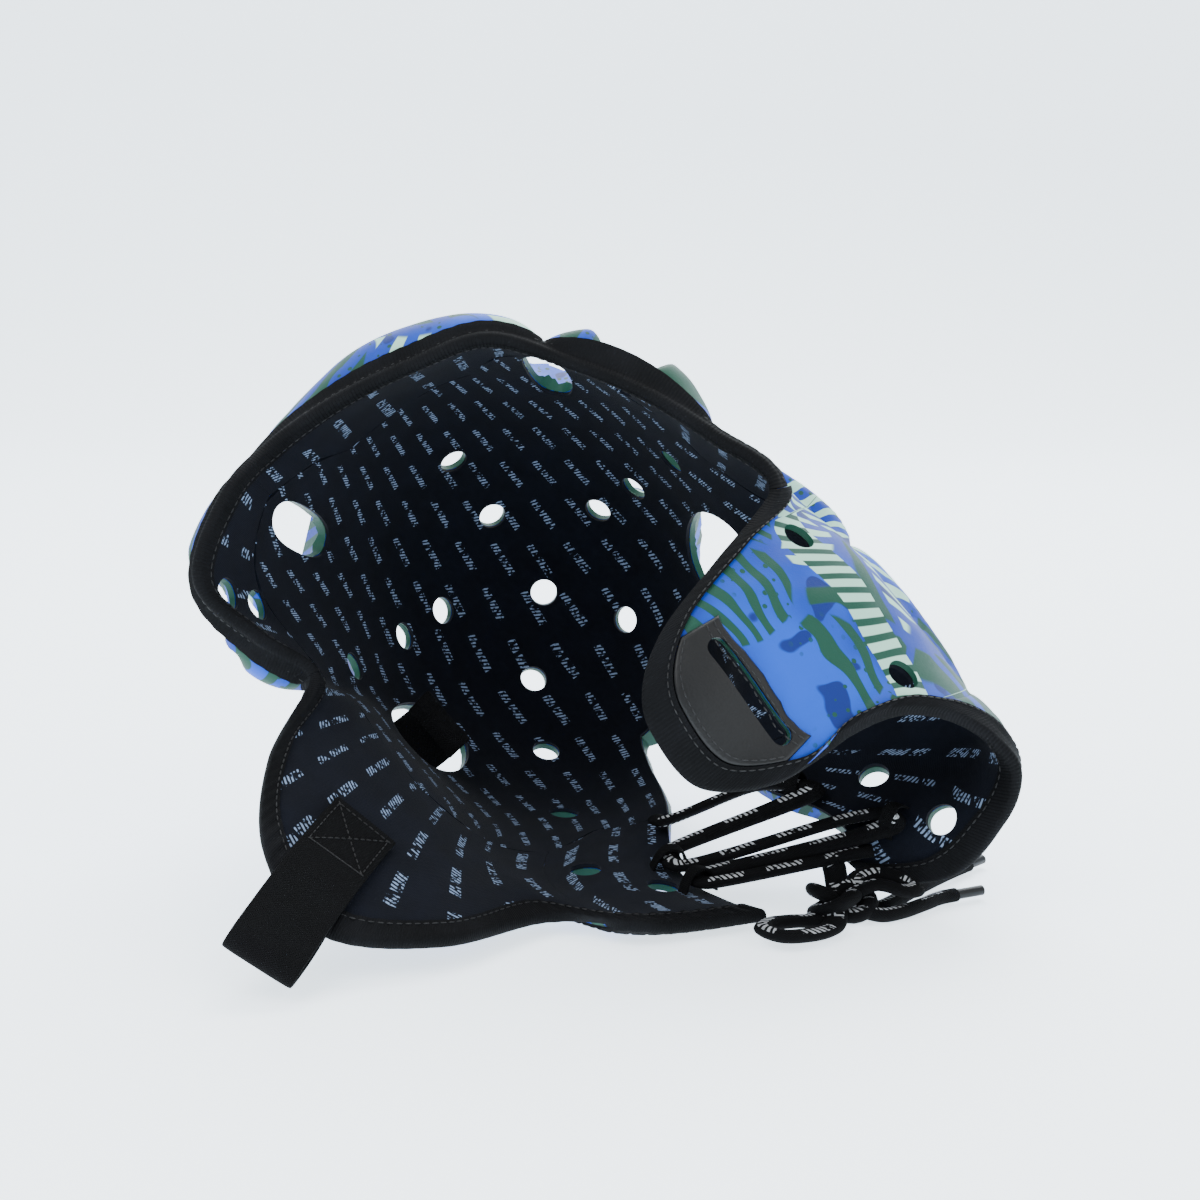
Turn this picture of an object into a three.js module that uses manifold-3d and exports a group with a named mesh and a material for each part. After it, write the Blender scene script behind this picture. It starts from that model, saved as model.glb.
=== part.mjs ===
// A rugby scrum cap that lies on its back with one cheek flap turned in and the other turned out.
// Millimetres, +Z up, +X right, +Y away from the viewer, floor at Z = 0.
import * as THREE from 'three';
import { mergeVertices } from 'three/addons/utils/BufferGeometryUtils.js';
import Module from 'manifold-3d';

const wasm = await Module();
wasm.setup();

// Head hollow
const HALF_LENGTH = 91.4; // middle to forehead
const HALF_WIDTH = 75.9; // middle to either side
const CROWN_HEIGHT = 122; // brow plane to crown
const SKIRT_DROP = 100; // the skirt table's drops are shares of this
const SIDE_START = 66; // polar angle in degrees where the dome hands over to the skirt

// Layers, from the hollow outwards
const LINING = 1;
const GAP = 0.3;
const SHELL = 2.4; // laminated cloth and thin foam in the grooves
const CROWN_PAD = 8; // pad height above the grooves
const BAND_PAD = 6.5;
const TEMPLE_PAD = 6;
const CHEEK_PAD = 3.6;
const NAPE_PAD = 3.2;

// Openings
const VENT = 11.4; // diameter of a round vent
const EAR_LENGTH = 54;
const EAR_WIDTH = 35;
const TEMPLE_VENT_LENGTH = 44;
const TEMPLE_VENT_WIDTH = 17;
const SLOT_LENGTH = 41; // strap slot in the left cheek
const SLOT_WIDTH = 7;
const VENT_SIDES = 6;
const TEMPLE_SIDES = 10;
const EAR_SIDES = 12;

// Trim
const BINDING_WIDTH = 9;
const BINDING = 1.2; // folded tape's thickness
const LEAF_GAP = 0.9; // between the tape's inner leaf and the lining
const PATCH = 1.2; // leather-look patch round the strap slot
const STRAP_WIDTH = 25;
const STRAP = 1.8;
const LACE = 5.4; // lace diameter
const LACE_SIDES = 6;
const AGLET = 3.6;
const WEBBING_WIDTH = 5; // the loops that hold the lace
const WEBBING = 0.9;

// Lie: which way the forehead and the crown point, and how far the padding sinks into the floor
const FOREHEAD_WAY = new THREE.Vector3(-0.529, 0.321, 0.785).normalize();
const CROWN_WAY = new THREE.Vector3(0.115, 0.944, -0.309);
const REST_WALL = 8.9; // pad left between the hollow and the floor
const RIM_CLEAR = 5.2; // height of the hollow's lowest rim above the floor
const RIM_SOFTNESS = 2;
const STRAP_CLEAR = 0.4;

CROWN_WAY.addScaledVector(FOREHEAD_WAY, -CROWN_WAY.dot(FOREHEAD_WAY)).normalize();
const LEFT_WAY = new THREE.Vector3().crossVectors(CROWN_WAY, FOREHEAD_WAY);
const AXES = [FOREHEAD_WAY, LEFT_WAY, CROWN_WAY];
const HALF_AXES = [HALF_LENGTH, HALF_WIDTH, CROWN_HEIGHT];
const restHeight = REST_WALL + Math.hypot(...AXES.map((way, i) => way.z * HALF_AXES[i]));

// Skirt sections: degrees round from the forehead towards the wearer's left, then the waist ring and
// the rim ring, each as shares of HALF_LENGTH, HALF_WIDTH and SKIRT_DROP.
const SECTIONS = [
  { turn: -180, waist: [-1.29, -0.08, 0.05], rim: [-1.53, 0.14, 0.31] },
  { turn: -165, waist: [-1.2, -0.29, 0.2], rim: [-1.43, -0.13, 0.42] },
  { turn: -150, waist: [-1.06, -0.56, 0.26], rim: [-1.29, -0.37, 0.52] },
  { turn: -138, waist: [-0.88, -0.76, 0.27], rim: [-1.11, -0.66, 0.46] },
  { turn: -126, waist: [-0.68, -0.86, 0.27], rim: [-1.01, -1.01, 0.8] },
  { turn: -115, waist: [-0.46, -0.92, 0.27], rim: [-0.77, -1.37, 0.95] },
  { turn: -104, waist: [-0.24, -0.97, 0.26], rim: [-0.4, -1.42, 0.88] },
  { turn: -94, waist: [-0.07, -1.01, 0.24], rim: [-0.09, -1.28, 0.62] },
  { turn: -84, waist: [0.13, -1.03, 0.2], rim: [0.13, -1.01, 0.34] },
  { turn: -72, waist: [0.33, -1.07, 0.24], rim: [0.37, -1.11, 0.48] },
  { turn: -60, waist: [0.54, -1.05, 0.32], rim: [0.61, -1.16, 0.65] },
  { turn: -48, waist: [0.74, -0.88, 0.29], rim: [0.85, -0.86, 0.6] },
  { turn: -35, waist: [0.9, -0.6, 0.18], rim: [0.97, -0.61, 0.45] },
  { turn: -15, waist: [1, -0.26, 0.1], rim: [1, -0.24, 0.39] },
  { turn: 10, waist: [1, 0.16, 0.1], rim: [0.96, 0.13, 0.38] },
  { turn: 30, waist: [0.9, 0.48, 0.14], rim: [0.88, 0.5, 0.39] },
  { turn: 50, waist: [0.69, 0.76, 0.16], rim: [0.63, 0.76, 0.35] },
  { turn: 70, waist: [0.37, 0.98, 0.18], rim: [0.36, 0.97, 0.38] },
  { turn: 86, waist: [0.07, 1.12, 0.18], rim: [0.07, 1.12, 0.41] },
  { turn: 100, waist: [-0.22, 1.26, 0.12], rim: [-0.23, 1.22, 0.42] },
  { turn: 106, waist: [-0.38, 1.32, 0.12], rim: [-0.38, 0.84, 0.63] },
  { turn: 112, waist: [-0.47, 1.35, 0.12], rim: [-0.52, 0.47, 0.78] },
  { turn: 116, waist: [-0.53, 1.36, 0.12], rim: [-0.64, 0.29, 0.83] },
  { turn: 120, waist: [-0.61, 1.38, 0.11], rim: [-0.79, 0.21, 0.84] },
  { turn: 125, waist: [-0.7, 1.39, 0.09], rim: [-1.04, 0.25, 0.78] },
  { turn: 130, waist: [-0.79, 1.4, 0.08], rim: [-1.17, 0.53, 0.73] },
  { turn: 136, waist: [-0.92, 1.42, 0.06], rim: [-1.16, 0.88, 0.64] },
  { turn: 142, waist: [-1.09, 1.44, 0.04], rim: [-1.18, 1.09, 0.56] },
  { turn: 148, waist: [-1.24, 1.45, 0.02], rim: [-1.24, 1.23, 0.48] },
  { turn: 154, waist: [-1.35, 1.44, 0.02], rim: [-1.33, 1.34, 0.4] },
  { turn: 160, waist: [-1.43, 1.41, 0.02], rim: [-1.45, 1.41, 0.34] },
  { turn: 165, waist: [-1.5, 1.29, 0.02], rim: [-1.59, 1.42, 0.28] },
  { turn: 170, waist: [-1.52, 1.04, 0.02], rim: [-1.71, 1.25, 0.2] },
  { turn: 175, waist: [-1.48, 0.76, 0], rim: [-1.77, 0.92, 0.08] },
  { turn: 180, waist: [-1.38, 0.45, 0], rim: [-1.56, 0.5, -0.04] },
];

// Levels down a rib: 0 crown, 1 end of the dome, 2 waist ring, 3 rim.
const DOME = 1;
const WAIST = 2;
const RIM = 3;
const FLAP_GROOVE = 2.05; // groove between side pads and cheek flap
const SEAM_GAP = 0.025; // in levels
const PANEL_GAP = 0.25; // in degrees

// The seam under the crown panels, the same on both sides: degrees from the forehead, level
const SEAM = [
  { turn: 0, level: 1.76 }, { turn: 21.2, level: 1.78 }, { turn: 42.5, level: 2.36 },
  { turn: 60.6, level: 1.97 }, { turn: 75.8, level: 1.85 },
  { turn: 83, level: 1.76 }, { turn: 92.7, level: 1.8 }, { turn: 100, level: 1.85 }, { turn: 114.4, level: 1.88 },
  { turn: 133.6, level: 1.72 }, { turn: 148, level: 1.5 }, { turn: 157.6, level: 1.15 }, { turn: 170.4, level: 1.2 },
  { turn: 180, level: 1.25 },
];

// Crown grooves that run down: degrees at the crown, degrees gained for each level, last level of the gain
const GROOVES = [
  { turn: 0, lean: 0, until: 0 }, { turn: 33, lean: 31, until: 1.38 }, { turn: 100, lean: 0, until: 0 },
  { turn: 111, lean: 37, until: 1 }, { turn: 180, lean: 0, until: 0 },
];
const TEMPLE_TURN = 42.5;
const NAPE_TURN = 148;
const EAR_TURN = 100;
const FLAP_STEP = 4.3; // degrees from column to column on the flaps
const BINDING_JOIN_LEFT = 100;
const BINDING_JOIN_RIGHT = 83;
const SECTOR_CUTS = [[0, 0.28, 0.56, 0.8], [0, 0.3, 0.7], [0, 0.3, 0.7], [0, 0.3, 0.7]];
const CROWN_BANDS = [0, 0.26, 0.6, 0.93]; // levels of the grooves that run round
const LAST_BAND = 0.5; // share of the way from the last of them to the seam
const BAND_CUTS = [[0, 0.6], [0, 0.3, 0.7], [0, 0.3, 0.7], [0, 0.3, 0.7], [0, 0.5]];
const PLAIN_CUTS = [[0], [0, 0.5], [0, 0.5], [0, 0.5], [0]]; // the same for a face without pads

// Round vents: degrees round and level; the mirrored ones are cut on both sides
const CROWN_VENTS = [
  { turn: 0, level: 0.92 }, { turn: 0, level: 0.62 }, { turn: 0, level: 0.24 },
  { turn: 52, level: 0.62, both: true }, { turn: 65, level: 0.83, both: true },
  { turn: 75.5, level: 1.33, both: true }, { turn: 100, level: 0.28, both: true },
  { turn: 132, level: 0.56, both: true }, { turn: 146, level: 0.94, both: true },
];
const EAR = { turn: 99, level: 0.98 };
const TEMPLE_VENT = { turn: 43.5, level: 1.76 };
const CHEEK_VENTS = [{ turn: 61.5, level: 2.6 }, { turn: 62.5, level: 2.12 }];
const FLAP_VENTS = [{ turn: 108.5, level: 2.44 }, { turn: 136, level: 2.59 }];
const LEFT_NAPE_VENTS = [{ turn: 165.5, level: 1.68 }, { turn: 171, level: 2.36 }];
const RIGHT_NAPE_VENTS = [{ turn: -157, level: 1.73 }, { turn: -172, level: 2 }];
const SLOT = { from: { turn: 116.5, level: 2.79 }, to: { turn: 126.5, level: 2.8 } };

// The back split: half-open wedge in the crown panels, level against its two edges
const SPLIT = [
  { level: 0.53, from: 169, to: 176 }, { level: 0.58, from: 166.5, to: 178.5 }, { level: 0.7, from: 164.5, to: 180 },
  { level: 1, from: 163, to: 180.3 }, { level: 1.5, from: 163.5, to: 180.3 },
];
const SPLIT_FOOT = 178.5; // left edge of the split at the rim
const SPLIT_LEAN = 3.5; // how soon below the seam the left edge reaches that turn

const clamp = THREE.MathUtils.clamp;
const lerp = THREE.MathUtils.lerp;
const radians = THREE.MathUtils.degToRad;

const wrapped = (turn) => (turn > 180 ? turn - 360 : turn);

/** Straight-line reading of a table of rows by one key. */
function read(rows, key, x, value) {
  const after = rows.findIndex((row) => row[key] >= x);
  if (after <= 0) return rows[after === 0 ? 0 : rows.length - 1][value];
  const [low, high] = [rows[after - 1], rows[after]];
  return lerp(low[value], high[value], (x - low[key]) / (high[key] - low[key]));
}

/** A point of the cap's own frame, given forwards, leftwards and upwards from the hollow's middle. */
function placed(forward, left, up) {
  const point = new THREE.Vector3(0, 0, restHeight);
  return point.addScaledVector(FOREHEAD_WAY, forward).addScaledVector(LEFT_WAY, left).addScaledVector(CROWN_WAY, up);
}

/** One ring of the skirt at a turn, smooth through the rows of the table. */
function ring(name, turn) {
  const last = SECTIONS.length - 1;
  const at = clamp(SECTIONS.findIndex((row) => row.turn >= turn), 1, last);
  const [a, b] = [SECTIONS[at - 1], SECTIONS[at]];
  const span = b.turn - a.turn;
  const s = clamp((turn - a.turn) / span, 0, 1);
  const slope = (i, k) => {
    const [low, high] = [SECTIONS[Math.max(i - 1, 0)], SECTIONS[Math.min(i + 1, last)]];
    return (high[name][k] - low[name][k]) / (high.turn - low.turn);
  };
  const share = [0, 1, 2].map((k) => hermite(a[name][k], b[name][k], slope(at - 1, k) * span, slope(at, k) * span, s));
  return placed(share[0] * HALF_LENGTH, share[1] * HALF_WIDTH, -share[2] * SKIRT_DROP);
}

function hermite(from, to, startSlope, endSlope, s) {
  const [s2, s3] = [s * s, s * s * s];
  return (2 * s3 - 3 * s2 + 1) * from + (s3 - 2 * s2 + s) * startSlope + (3 * s2 - 2 * s3) * to + (s3 - s2) * endSlope;
}

function hermitePoint(from, to, startSlope, endSlope, s) {
  return new THREE.Vector3(...['x', 'y', 'z'].map((k) => hermite(from[k], to[k], startSlope[k], endSlope[k], s)));
}

/** The face of the hollow at a turn and a level, pressed softly up from the floor. */
function hollow(turn, level) {
  const [angle, start] = [radians(turn), radians(SIDE_START)];
  const dome = (polar) => placed(
    HALF_LENGTH * Math.sin(polar) * Math.cos(angle), HALF_WIDTH * Math.sin(polar) * Math.sin(angle),
    CROWN_HEIGHT * Math.cos(polar),
  );
  let point;
  if (level <= DOME) {
    point = dome(level * start);
  } else {
    const foot = dome(start);
    const waist = ring('waist', turn);
    const rim = ring('rim', turn);
    const upper = waist.distanceTo(foot);
    const lower = rim.distanceTo(waist);
    const leave = dome(start + 0.01).sub(foot).normalize();
    const pass = waist.clone().sub(foot).multiplyScalar(lower / upper).addScaledVector(rim.clone().sub(waist), upper / lower);
    pass.normalize();
    const arrive = rim.clone().sub(waist).multiplyScalar(2 / lower).sub(pass).normalize();
    if (level <= WAIST) {
      point = hermitePoint(foot, waist, leave.multiplyScalar(upper), pass.multiplyScalar(upper), level - DOME);
    } else if (level <= RIM) {
      point = hermitePoint(waist, rim, pass.multiplyScalar(lower), arrive.multiplyScalar(lower), level - WAIST);
    } else {
      point = rim.addScaledVector(arrive, (level - RIM) * lower);
    }
  }
  point.z = (point.z + RIM_CLEAR + Math.hypot(point.z - RIM_CLEAR, RIM_SOFTNESS)) / 2;
  return point;
}

/** Directions at a place: out of the hollow, down the rib and round the cap. */
function directions(turn, level) {
  if (level < 0.02) return { out: CROWN_WAY.clone(), down: FOREHEAD_WAY.clone(), round: LEFT_WAY.clone() };
  const [stepTurn, stepLevel] = [0.5, 0.004];
  const round = hollow(turn + stepTurn, level).sub(hollow(turn - stepTurn, level)).normalize();
  const down = hollow(turn, level + stepLevel).sub(hollow(turn, level - stepLevel)).normalize();
  const out = new THREE.Vector3().crossVectors(down, round).normalize();
  return { out, down, round: round.clone().cross(down).cross(down).negate().normalize() };
}

/** A point a given height above the hollow's face, never under the floor; facing is the turn it leans by. */
function above(turn, level, height, facing = turn) {
  const point = hollow(turn, level).addScaledVector(directions(facing, level).out, height);
  point.z = Math.max(point.z, 0);
  return point;
}

const seamAt = (turn) => read(SEAM, 'turn', Math.abs(turn), 'level');
const grooveTurn = (groove, level) => groove.turn + groove.lean * Math.min(level, groove.until);
const pillow = (share) => Math.sin(Math.PI * clamp(share, 0, 1)) ** 0.6;

/** Levels of the crown's grooves down to the seam. */
function bandsTo(seam) {
  const low = CROWN_BANDS[CROWN_BANDS.length - 1];
  return [...CROWN_BANDS, lerp(low, seam, LAST_BAND), seam];
}

/** Pad height over the crown panels, from the groove on either side and the band it lies in. */
function crownLift(sectorShare, level, seam) {
  const bands = bandsTo(seam);
  const band = Math.max(bands.findIndex((edge, i) => level <= bands[i + 1]), 0);
  const share = (level - bands[band]) / (bands[band + 1] - bands[band]);
  return band === 0 ? CROWN_PAD * pillow(0.5 + share / 2) : CROWN_PAD * pillow(share) * pillow(sectorShare);
}

// Lower pads: turns between their edge grooves, the level where they end, and their height
const LOWER_PADS = [
  { from: 0, to: TEMPLE_TURN, end: 2.9, height: BAND_PAD }, { from: TEMPLE_TURN, to: 84, end: 2.9, height: TEMPLE_PAD },
  { from: 84, to: 116, end: FLAP_GROOVE, height: CHEEK_PAD }, { from: 116, to: NAPE_TURN, end: FLAP_GROOVE, height: CHEEK_PAD },
  { from: NAPE_TURN, to: 180, end: 2.9, height: NAPE_PAD },
];

function lowerLift(turn, level) {
  const side = Math.abs(turn);
  const pad = LOWER_PADS.find((row) => side <= row.to);
  const across = pad.from === 0 ? pillow(0.5 + side / pad.to / 2) : pillow((side - pad.from) / (pad.to - pad.from));
  return pad.height * across * pillow((level - seamAt(turn)) / (pad.end - seamAt(turn)));
}

const lowerWall = (turn, level) => LINING + GAP + SHELL + lowerLift(turn, level);

/** Merges a bent geometry's corners and turns its faces outwards. */
function closed(geometry) {
  geometry.deleteAttribute('normal');
  geometry.deleteAttribute('uv');
  const merged = mergeVertices(geometry, 1e-3);
  const [corners, points] = [merged.index.array, merged.attributes.position];
  const [a, b, c] = [0, 1, 2].map(() => new THREE.Vector3());
  const kept = [];
  let volume = 0;
  for (let i = 0; i < corners.length; i += 3) {
    const [ia, ib, ic] = [corners[i], corners[i + 1], corners[i + 2]];
    if (ia === ib || ib === ic || ia === ic) continue;
    a.fromBufferAttribute(points, ia);
    b.fromBufferAttribute(points, ib);
    c.fromBufferAttribute(points, ic);
    volume += a.dot(b.cross(c));
    kept.push(ia, ib, ic);
  }
  if (volume < 0) {
    for (let i = 0; i < kept.length; i += 3) [kept[i], kept[i + 1]] = [kept[i + 1], kept[i]];
  }
  merged.setIndex(kept);
  return merged;
}

/** Moves every vertex of a geometry by a function of its own place and its number. */
function bent(geometry, place) {
  const points = geometry.attributes.position;
  for (let i = 0; i < points.count; i += 1) {
    const to = place(new THREE.Vector3().fromBufferAttribute(points, i), i);
    points.setXYZ(i, to.x, to.y, to.z);
  }
  return closed(geometry);
}

/** Turns the diagonals of a run of quads, so that both faces of a thin wall fold alike. */
function turnDiagonals(geometry, start, count) {
  const corners = geometry.index.array;
  for (let i = start; i < start + count; i += 6) {
    const [a, b, d, c] = [corners[i], corners[i + 1], corners[i + 2], corners[i + 4]];
    corners.set([a, b, c, a, c, d], i);
  }
}

/** A slab of columns and rows; place gets the column, the row and the side, 0 inner or 1 outer. */
function slab(columns, rows, place) {
  const box = new THREE.BoxGeometry(1, 1, 1, columns, rows, 1);
  const back = box.groups[5];
  turnDiagonals(box, back.start, back.count);
  return bent(box, (p) => place(Math.round((p.x + 0.5) * columns), Math.round((p.y + 0.5) * rows), Math.round(p.z + 0.5)));
}

function toSolid(geometry) {
  return new wasm.Manifold(new wasm.Mesh({
    numProp: 3, vertProperties: new Float32Array(geometry.attributes.position.array), triVerts: new Uint32Array(geometry.index.array),
  }));
}

function fromSolid(solid) {
  const mesh = solid.getMesh();
  const geometry = new THREE.BufferGeometry();
  geometry.setAttribute('position', new THREE.BufferAttribute(mesh.vertProperties.slice(), 3));
  geometry.setIndex([...mesh.triVerts]);
  return geometry;
}

/** Cuts a solid and keeps its largest body, without the slivers that a grazing cut leaves. */
function cut(geometry, cutters) {
  const left = cutters.reduce((solid, cutter) => solid.subtract(toSolid(cutter)), toSolid(geometry));
  const bodies = left.decompose().sort((a, b) => b.volume() - a.volume());
  return fromSolid(bodies[0]);
}

/** A straight plug through the wall, across and along given as widths. */
function plug(turn, level, across, along, sides) {
  const depth = 2 * (CROWN_PAD + SHELL + LINING) + VENT;
  const { out, down, round } = directions(turn, level);
  const geometry = new THREE.CylinderGeometry(0.5, 0.5, depth, sides);
  geometry.rotateY(Math.PI / sides);
  geometry.scale(across, 1, along);
  geometry.applyMatrix4(new THREE.Matrix4().makeBasis(round, out, down).setPosition(hollow(turn, level)));
  return closed(geometry);
}

const mirrored = (spots) => spots.flatMap((spot) => (spot.turn === 0 ? [spot] : [spot, { ...spot, turn: -spot.turn }]));
const vents = (spots) => spots.map((spot) => plug(spot.turn, spot.level, VENT, VENT, VENT_SIDES));

/** The wedge that opens the crown panels at the back. */
function splitCutter() {
  const [inside, outside] = [-12, CROWN_PAD + SHELL + 14];
  return slab(1, SPLIT.length - 1, (i, j, side) => {
    const row = SPLIT[j];
    const turn = i ? wrapped(row.to) : row.from;
    return hollow(turn, row.level).addScaledVector(directions(turn, row.level).out, side ? outside : inside);
  });
}

/** Turns of the crown's columns: where each lies between two grooves. */
function crownColumns() {
  const half = SECTOR_CUTS.flatMap((cuts, sector) => cuts.map((share) => ({ sector, share })));
  const left = half.map(({ sector, share }) => ({ sign: 1, sector, share }));
  const right = half.slice(1).reverse().map(({ sector, share }) => ({ sign: -1, sector, share }));
  return [...left, { sign: -1, sector: SECTOR_CUTS.length - 1, share: 1 }, ...right];
}

const CROWN_COLUMNS = crownColumns();

function crownTurn(column, level) {
  const turn = lerp(grooveTurn(GROOVES[column.sector], level), grooveTurn(GROOVES[column.sector + 1], level), column.share);
  return column.sign * turn;
}

/** Rows down the crown, from the cuts of each band to the seam. */
function rowsOf(bandCuts) {
  const rows = bandCuts.flatMap((cuts, band) => cuts.map((share) => ({ band, share })));
  return [...rows, { band: bandCuts.length - 1, share: 1 }];
}

/** A closed bowl over the crown: down its shaped face, round the seam edge and back up its plain face. */
function bowl(plainHeight, shapedHeight, shapedCuts) {
  const [shapedRows, plainRows] = [rowsOf(shapedCuts), rowsOf(PLAIN_CUTS).reverse()];
  const lines = [...shapedRows, ...plainRows];
  const across = CROWN_COLUMNS.length;
  const sphere = new THREE.SphereGeometry(1, across, lines.length - 1);
  const [capCorners, rowCorners] = [3 * across, 6 * across];
  const plainStart = capCorners + (shapedRows.length - 1) * rowCorners;
  turnDiagonals(sphere, plainStart, (plainRows.length - 2) * rowCorners);
  return bent(sphere, (_, i) => {
    const column = CROWN_COLUMNS[(i % (across + 1)) % across];
    const line = Math.floor(i / (across + 1));
    const { band, share } = lines[line];
    const seam = seamAt(crownTurn(column, WAIST));
    const bands = bandsTo(seam);
    const level = lerp(bands[band], bands[band + 1], share);
    const height = line < shapedRows.length ? shapedHeight(column.share, level, seam) : plainHeight;
    return above(crownTurn(column, level), level, height);
  });
}

const ribLength = (turn) => hollow(turn, RIM).distanceTo(hollow(turn, WAIST));
const tuckLevel = (turn) => RIM - BINDING_WIDTH / ribLength(turn);

const ROWS = [0, 0.31, 0.65]; // shares of the way from the seam to the binding

/** Pieces between two seam columns: more on the flaps, where the rim turns round their tips. */
function piecesBetween(from, to) {
  const [near, far] = [Math.min(Math.abs(from), Math.abs(to)), Math.max(Math.abs(from), Math.abs(to))];
  return near < EAR_TURN || far > NAPE_TURN ? 2 : Math.round((far - near) / FLAP_STEP);
}

/** A lower panel's columns: the crown's own at the seam with more between each two, edges drawn in by a gap. */
function columnsBetween(from, to) {
  const seamTurns = CROWN_COLUMNS.map((column) => crownTurn(column, WAIST)).filter((turn) => turn > from && turn < to);
  const knots = [from, ...seamTurns.sort((a, b) => a - b), to];
  const turns = knots.slice(1).flatMap((turn, i) => {
    const pieces = piecesBetween(knots[i], turn);
    return Array.from({ length: pieces }, (_, k) => lerp(knots[i], turn, k / pieces));
  });
  turns.push(to);
  return turns.map((turn, i) => {
    const draw = i === 0 ? PANEL_GAP : i === turns.length - 1 ? -PANEL_GAP : 0;
    return { top: turn + draw, foot: turn + draw, back: -draw };
  });
}

/** Left nape columns lean, so that the last one follows the split's own edge. */
function leanedToSplit(columns) {
  const [first, last] = [columns[0], columns[columns.length - 1]];
  const edgeTop = read(SPLIT, 'level', seamAt(SPLIT_FOOT), 'from') - PANEL_GAP;
  return columns.map((column) => {
    const reach = (column.top - first.top) / (last.top - first.top);
    return {
      top: lerp(first.top, edgeTop, reach), foot: lerp(first.top, SPLIT_FOOT, reach),
      back: column === first ? column.back : 0, lean: SPLIT_LEAN,
    };
  });
}

/** A lower panel with one plain and one shaped face; each column has a turn at the seam and one at the rim. */
function panel(columns, plainHeight, shapedHeight) {
  return slab(columns.length - 1, ROWS.length + 1, (i, j, side) => {
    const { top, foot, back, lean = 1 } = columns[i];
    const tuck = (tuckLevel(foot) - seamAt(foot) - SEAM_GAP) / (RIM - seamAt(foot) - SEAM_GAP);
    const share = j > ROWS.length ? 1 : tuck * (j === ROWS.length ? 1 : ROWS[j]);
    const turn = lerp(top, foot, 1 - (1 - share) ** lean);
    const level = lerp(seamAt(turn) + SEAM_GAP, RIM, share);
    return above(turn, level, side ? shapedHeight(turn, level) : plainHeight, turn + back);
  });
}

/** A tape folded round the rim: outer leaf, fold and inner leaf, through the columns of the panels. */
function binding(turns) {
  return slab(turns.length - 1, 3, (i, j, side) => {
    const turn = turns[i];
    const [outerLeaf, atRim] = [j < 2, j === 1 || j === 2];
    const off = side ? 0 : BINDING;
    const level = atRim ? RIM + (GAP + off) / ribLength(turn) : tuckLevel(turn);
    return above(turn, level, outerLeaf ? lowerWall(turn, Math.min(level, RIM)) + GAP + off : -LEAF_GAP - off);
  });
}

/** A flat ribbon along a curve of stations, each a point and a width direction. */
function ribbon(stations, steps, width, thickness) {
  const curve = new THREE.CatmullRomCurve3(stations.map((s) => s.point), false, 'centripetal');
  const across = new THREE.CatmullRomCurve3(stations.map((s) => s.across));
  return slab(steps, 1, (i, j, side) => {
    const t = i / steps;
    const along = curve.getTangent(t);
    const wide = across.getPoint(t).projectOnPlane(along).normalize();
    const up = along.clone().cross(wide);
    const point = curve.getPoint(t).addScaledVector(wide, (j - 0.5) * width);
    point.addScaledVector(up, (side - 0.5) * thickness);
    point.z = Math.max(point.z, STRAP_CLEAR);
    return point;
  });
}

// Chin strap's run over the right cheek: turn, level and height above the hollow's face
const STRAP_RUN = [
  { turn: -111.5, level: 2.46, height: -2.6 }, { turn: -111.5, level: 2.62, height: -2.8 },
  { turn: -111.5, level: 2.8, height: -3.6 }, { turn: -111.5, level: 3, height: -4 },
  { turn: -111.5, level: 3.14, height: -3.6 }, { turn: -111.5, level: 3.26, height: -1.8 },
  { turn: -111.5, level: 3.3, height: 2.2 }, { turn: -111.5, level: 3.24, height: 6.6 },
  { turn: -111.5, level: 3.08, height: 8.6 }, { turn: -111, level: 2.8, height: 9 },
  { turn: -109, level: 2.4, height: 10 }, { turn: -105, level: 2, height: 13 },
  { turn: -101, level: 1.6, height: 15.5 }, { turn: -99, level: 1.3, height: 14.5 },
  { turn: -98.8, level: 1.1, height: 7 }, { turn: -98.8, level: 1.02, height: -3 },
  { turn: -99, level: 1.05, height: -12 }, { turn: -100, level: 1.17, height: -17 },
  { turn: -101, level: 1.25, height: -13 }, { turn: -101, level: 1.24, height: -8.5 },
];

const STRAP_STEPS = 30;
const strapStations = STRAP_RUN.map((row) => ({ point: onFace(row), across: directions(row.turn, row.level).round }));

// Upper edge of the patch over the left flap's tip, straight on the flap
const PATCH_EDGE = [
  { turn: 114, level: 2.78 }, { turn: 116.5, level: 2.74 }, { turn: 119, level: 2.71 }, { turn: 121.5, level: 2.7 },
  { turn: 124, level: 2.71 }, { turn: 126.5, level: 2.75 }, { turn: 129, level: 2.81 },
];
const PATCH_SETBACK = 0.006; // in levels, off the binding's edge
const PATCH_ROWS = 3;

function slotPatch() {
  return slab(PATCH_EDGE.length - 1, PATCH_ROWS, (i, j, side) => {
    const { turn, level: edge } = PATCH_EDGE[i];
    const level = lerp(edge, tuckLevel(turn) - PATCH_SETBACK, j / PATCH_ROWS);
    return above(turn, level, lowerWall(turn, level) + GAP + (side ? PATCH : 0));
  });
}

/** The strap slot: a long plug between the two ends of the slot. */
function slotCutter() {
  const [a, b] = [SLOT.from, SLOT.to];
  const middle = { turn: (a.turn + b.turn) / 2, level: (a.level + b.level) / 2 };
  const { out } = directions(middle.turn, middle.level);
  const ends = [a, b].map((end) => hollow(end.turn, end.level));
  const along = ends[1].clone().sub(ends[0]).projectOnPlane(out).normalize();
  const across = out.clone().cross(along);
  const centre = ends[0].clone().add(ends[1]).multiplyScalar(0.5);
  const geometry = new THREE.CapsuleGeometry(SLOT_WIDTH / 2, SLOT_LENGTH - SLOT_WIDTH, 2, 8);
  geometry.rotateX(Math.PI / 2);
  geometry.scale(1, 8, 1);
  geometry.applyMatrix4(new THREE.Matrix4().makeBasis(across, out, along).setPosition(centre));
  return closed(geometry);
}

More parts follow.
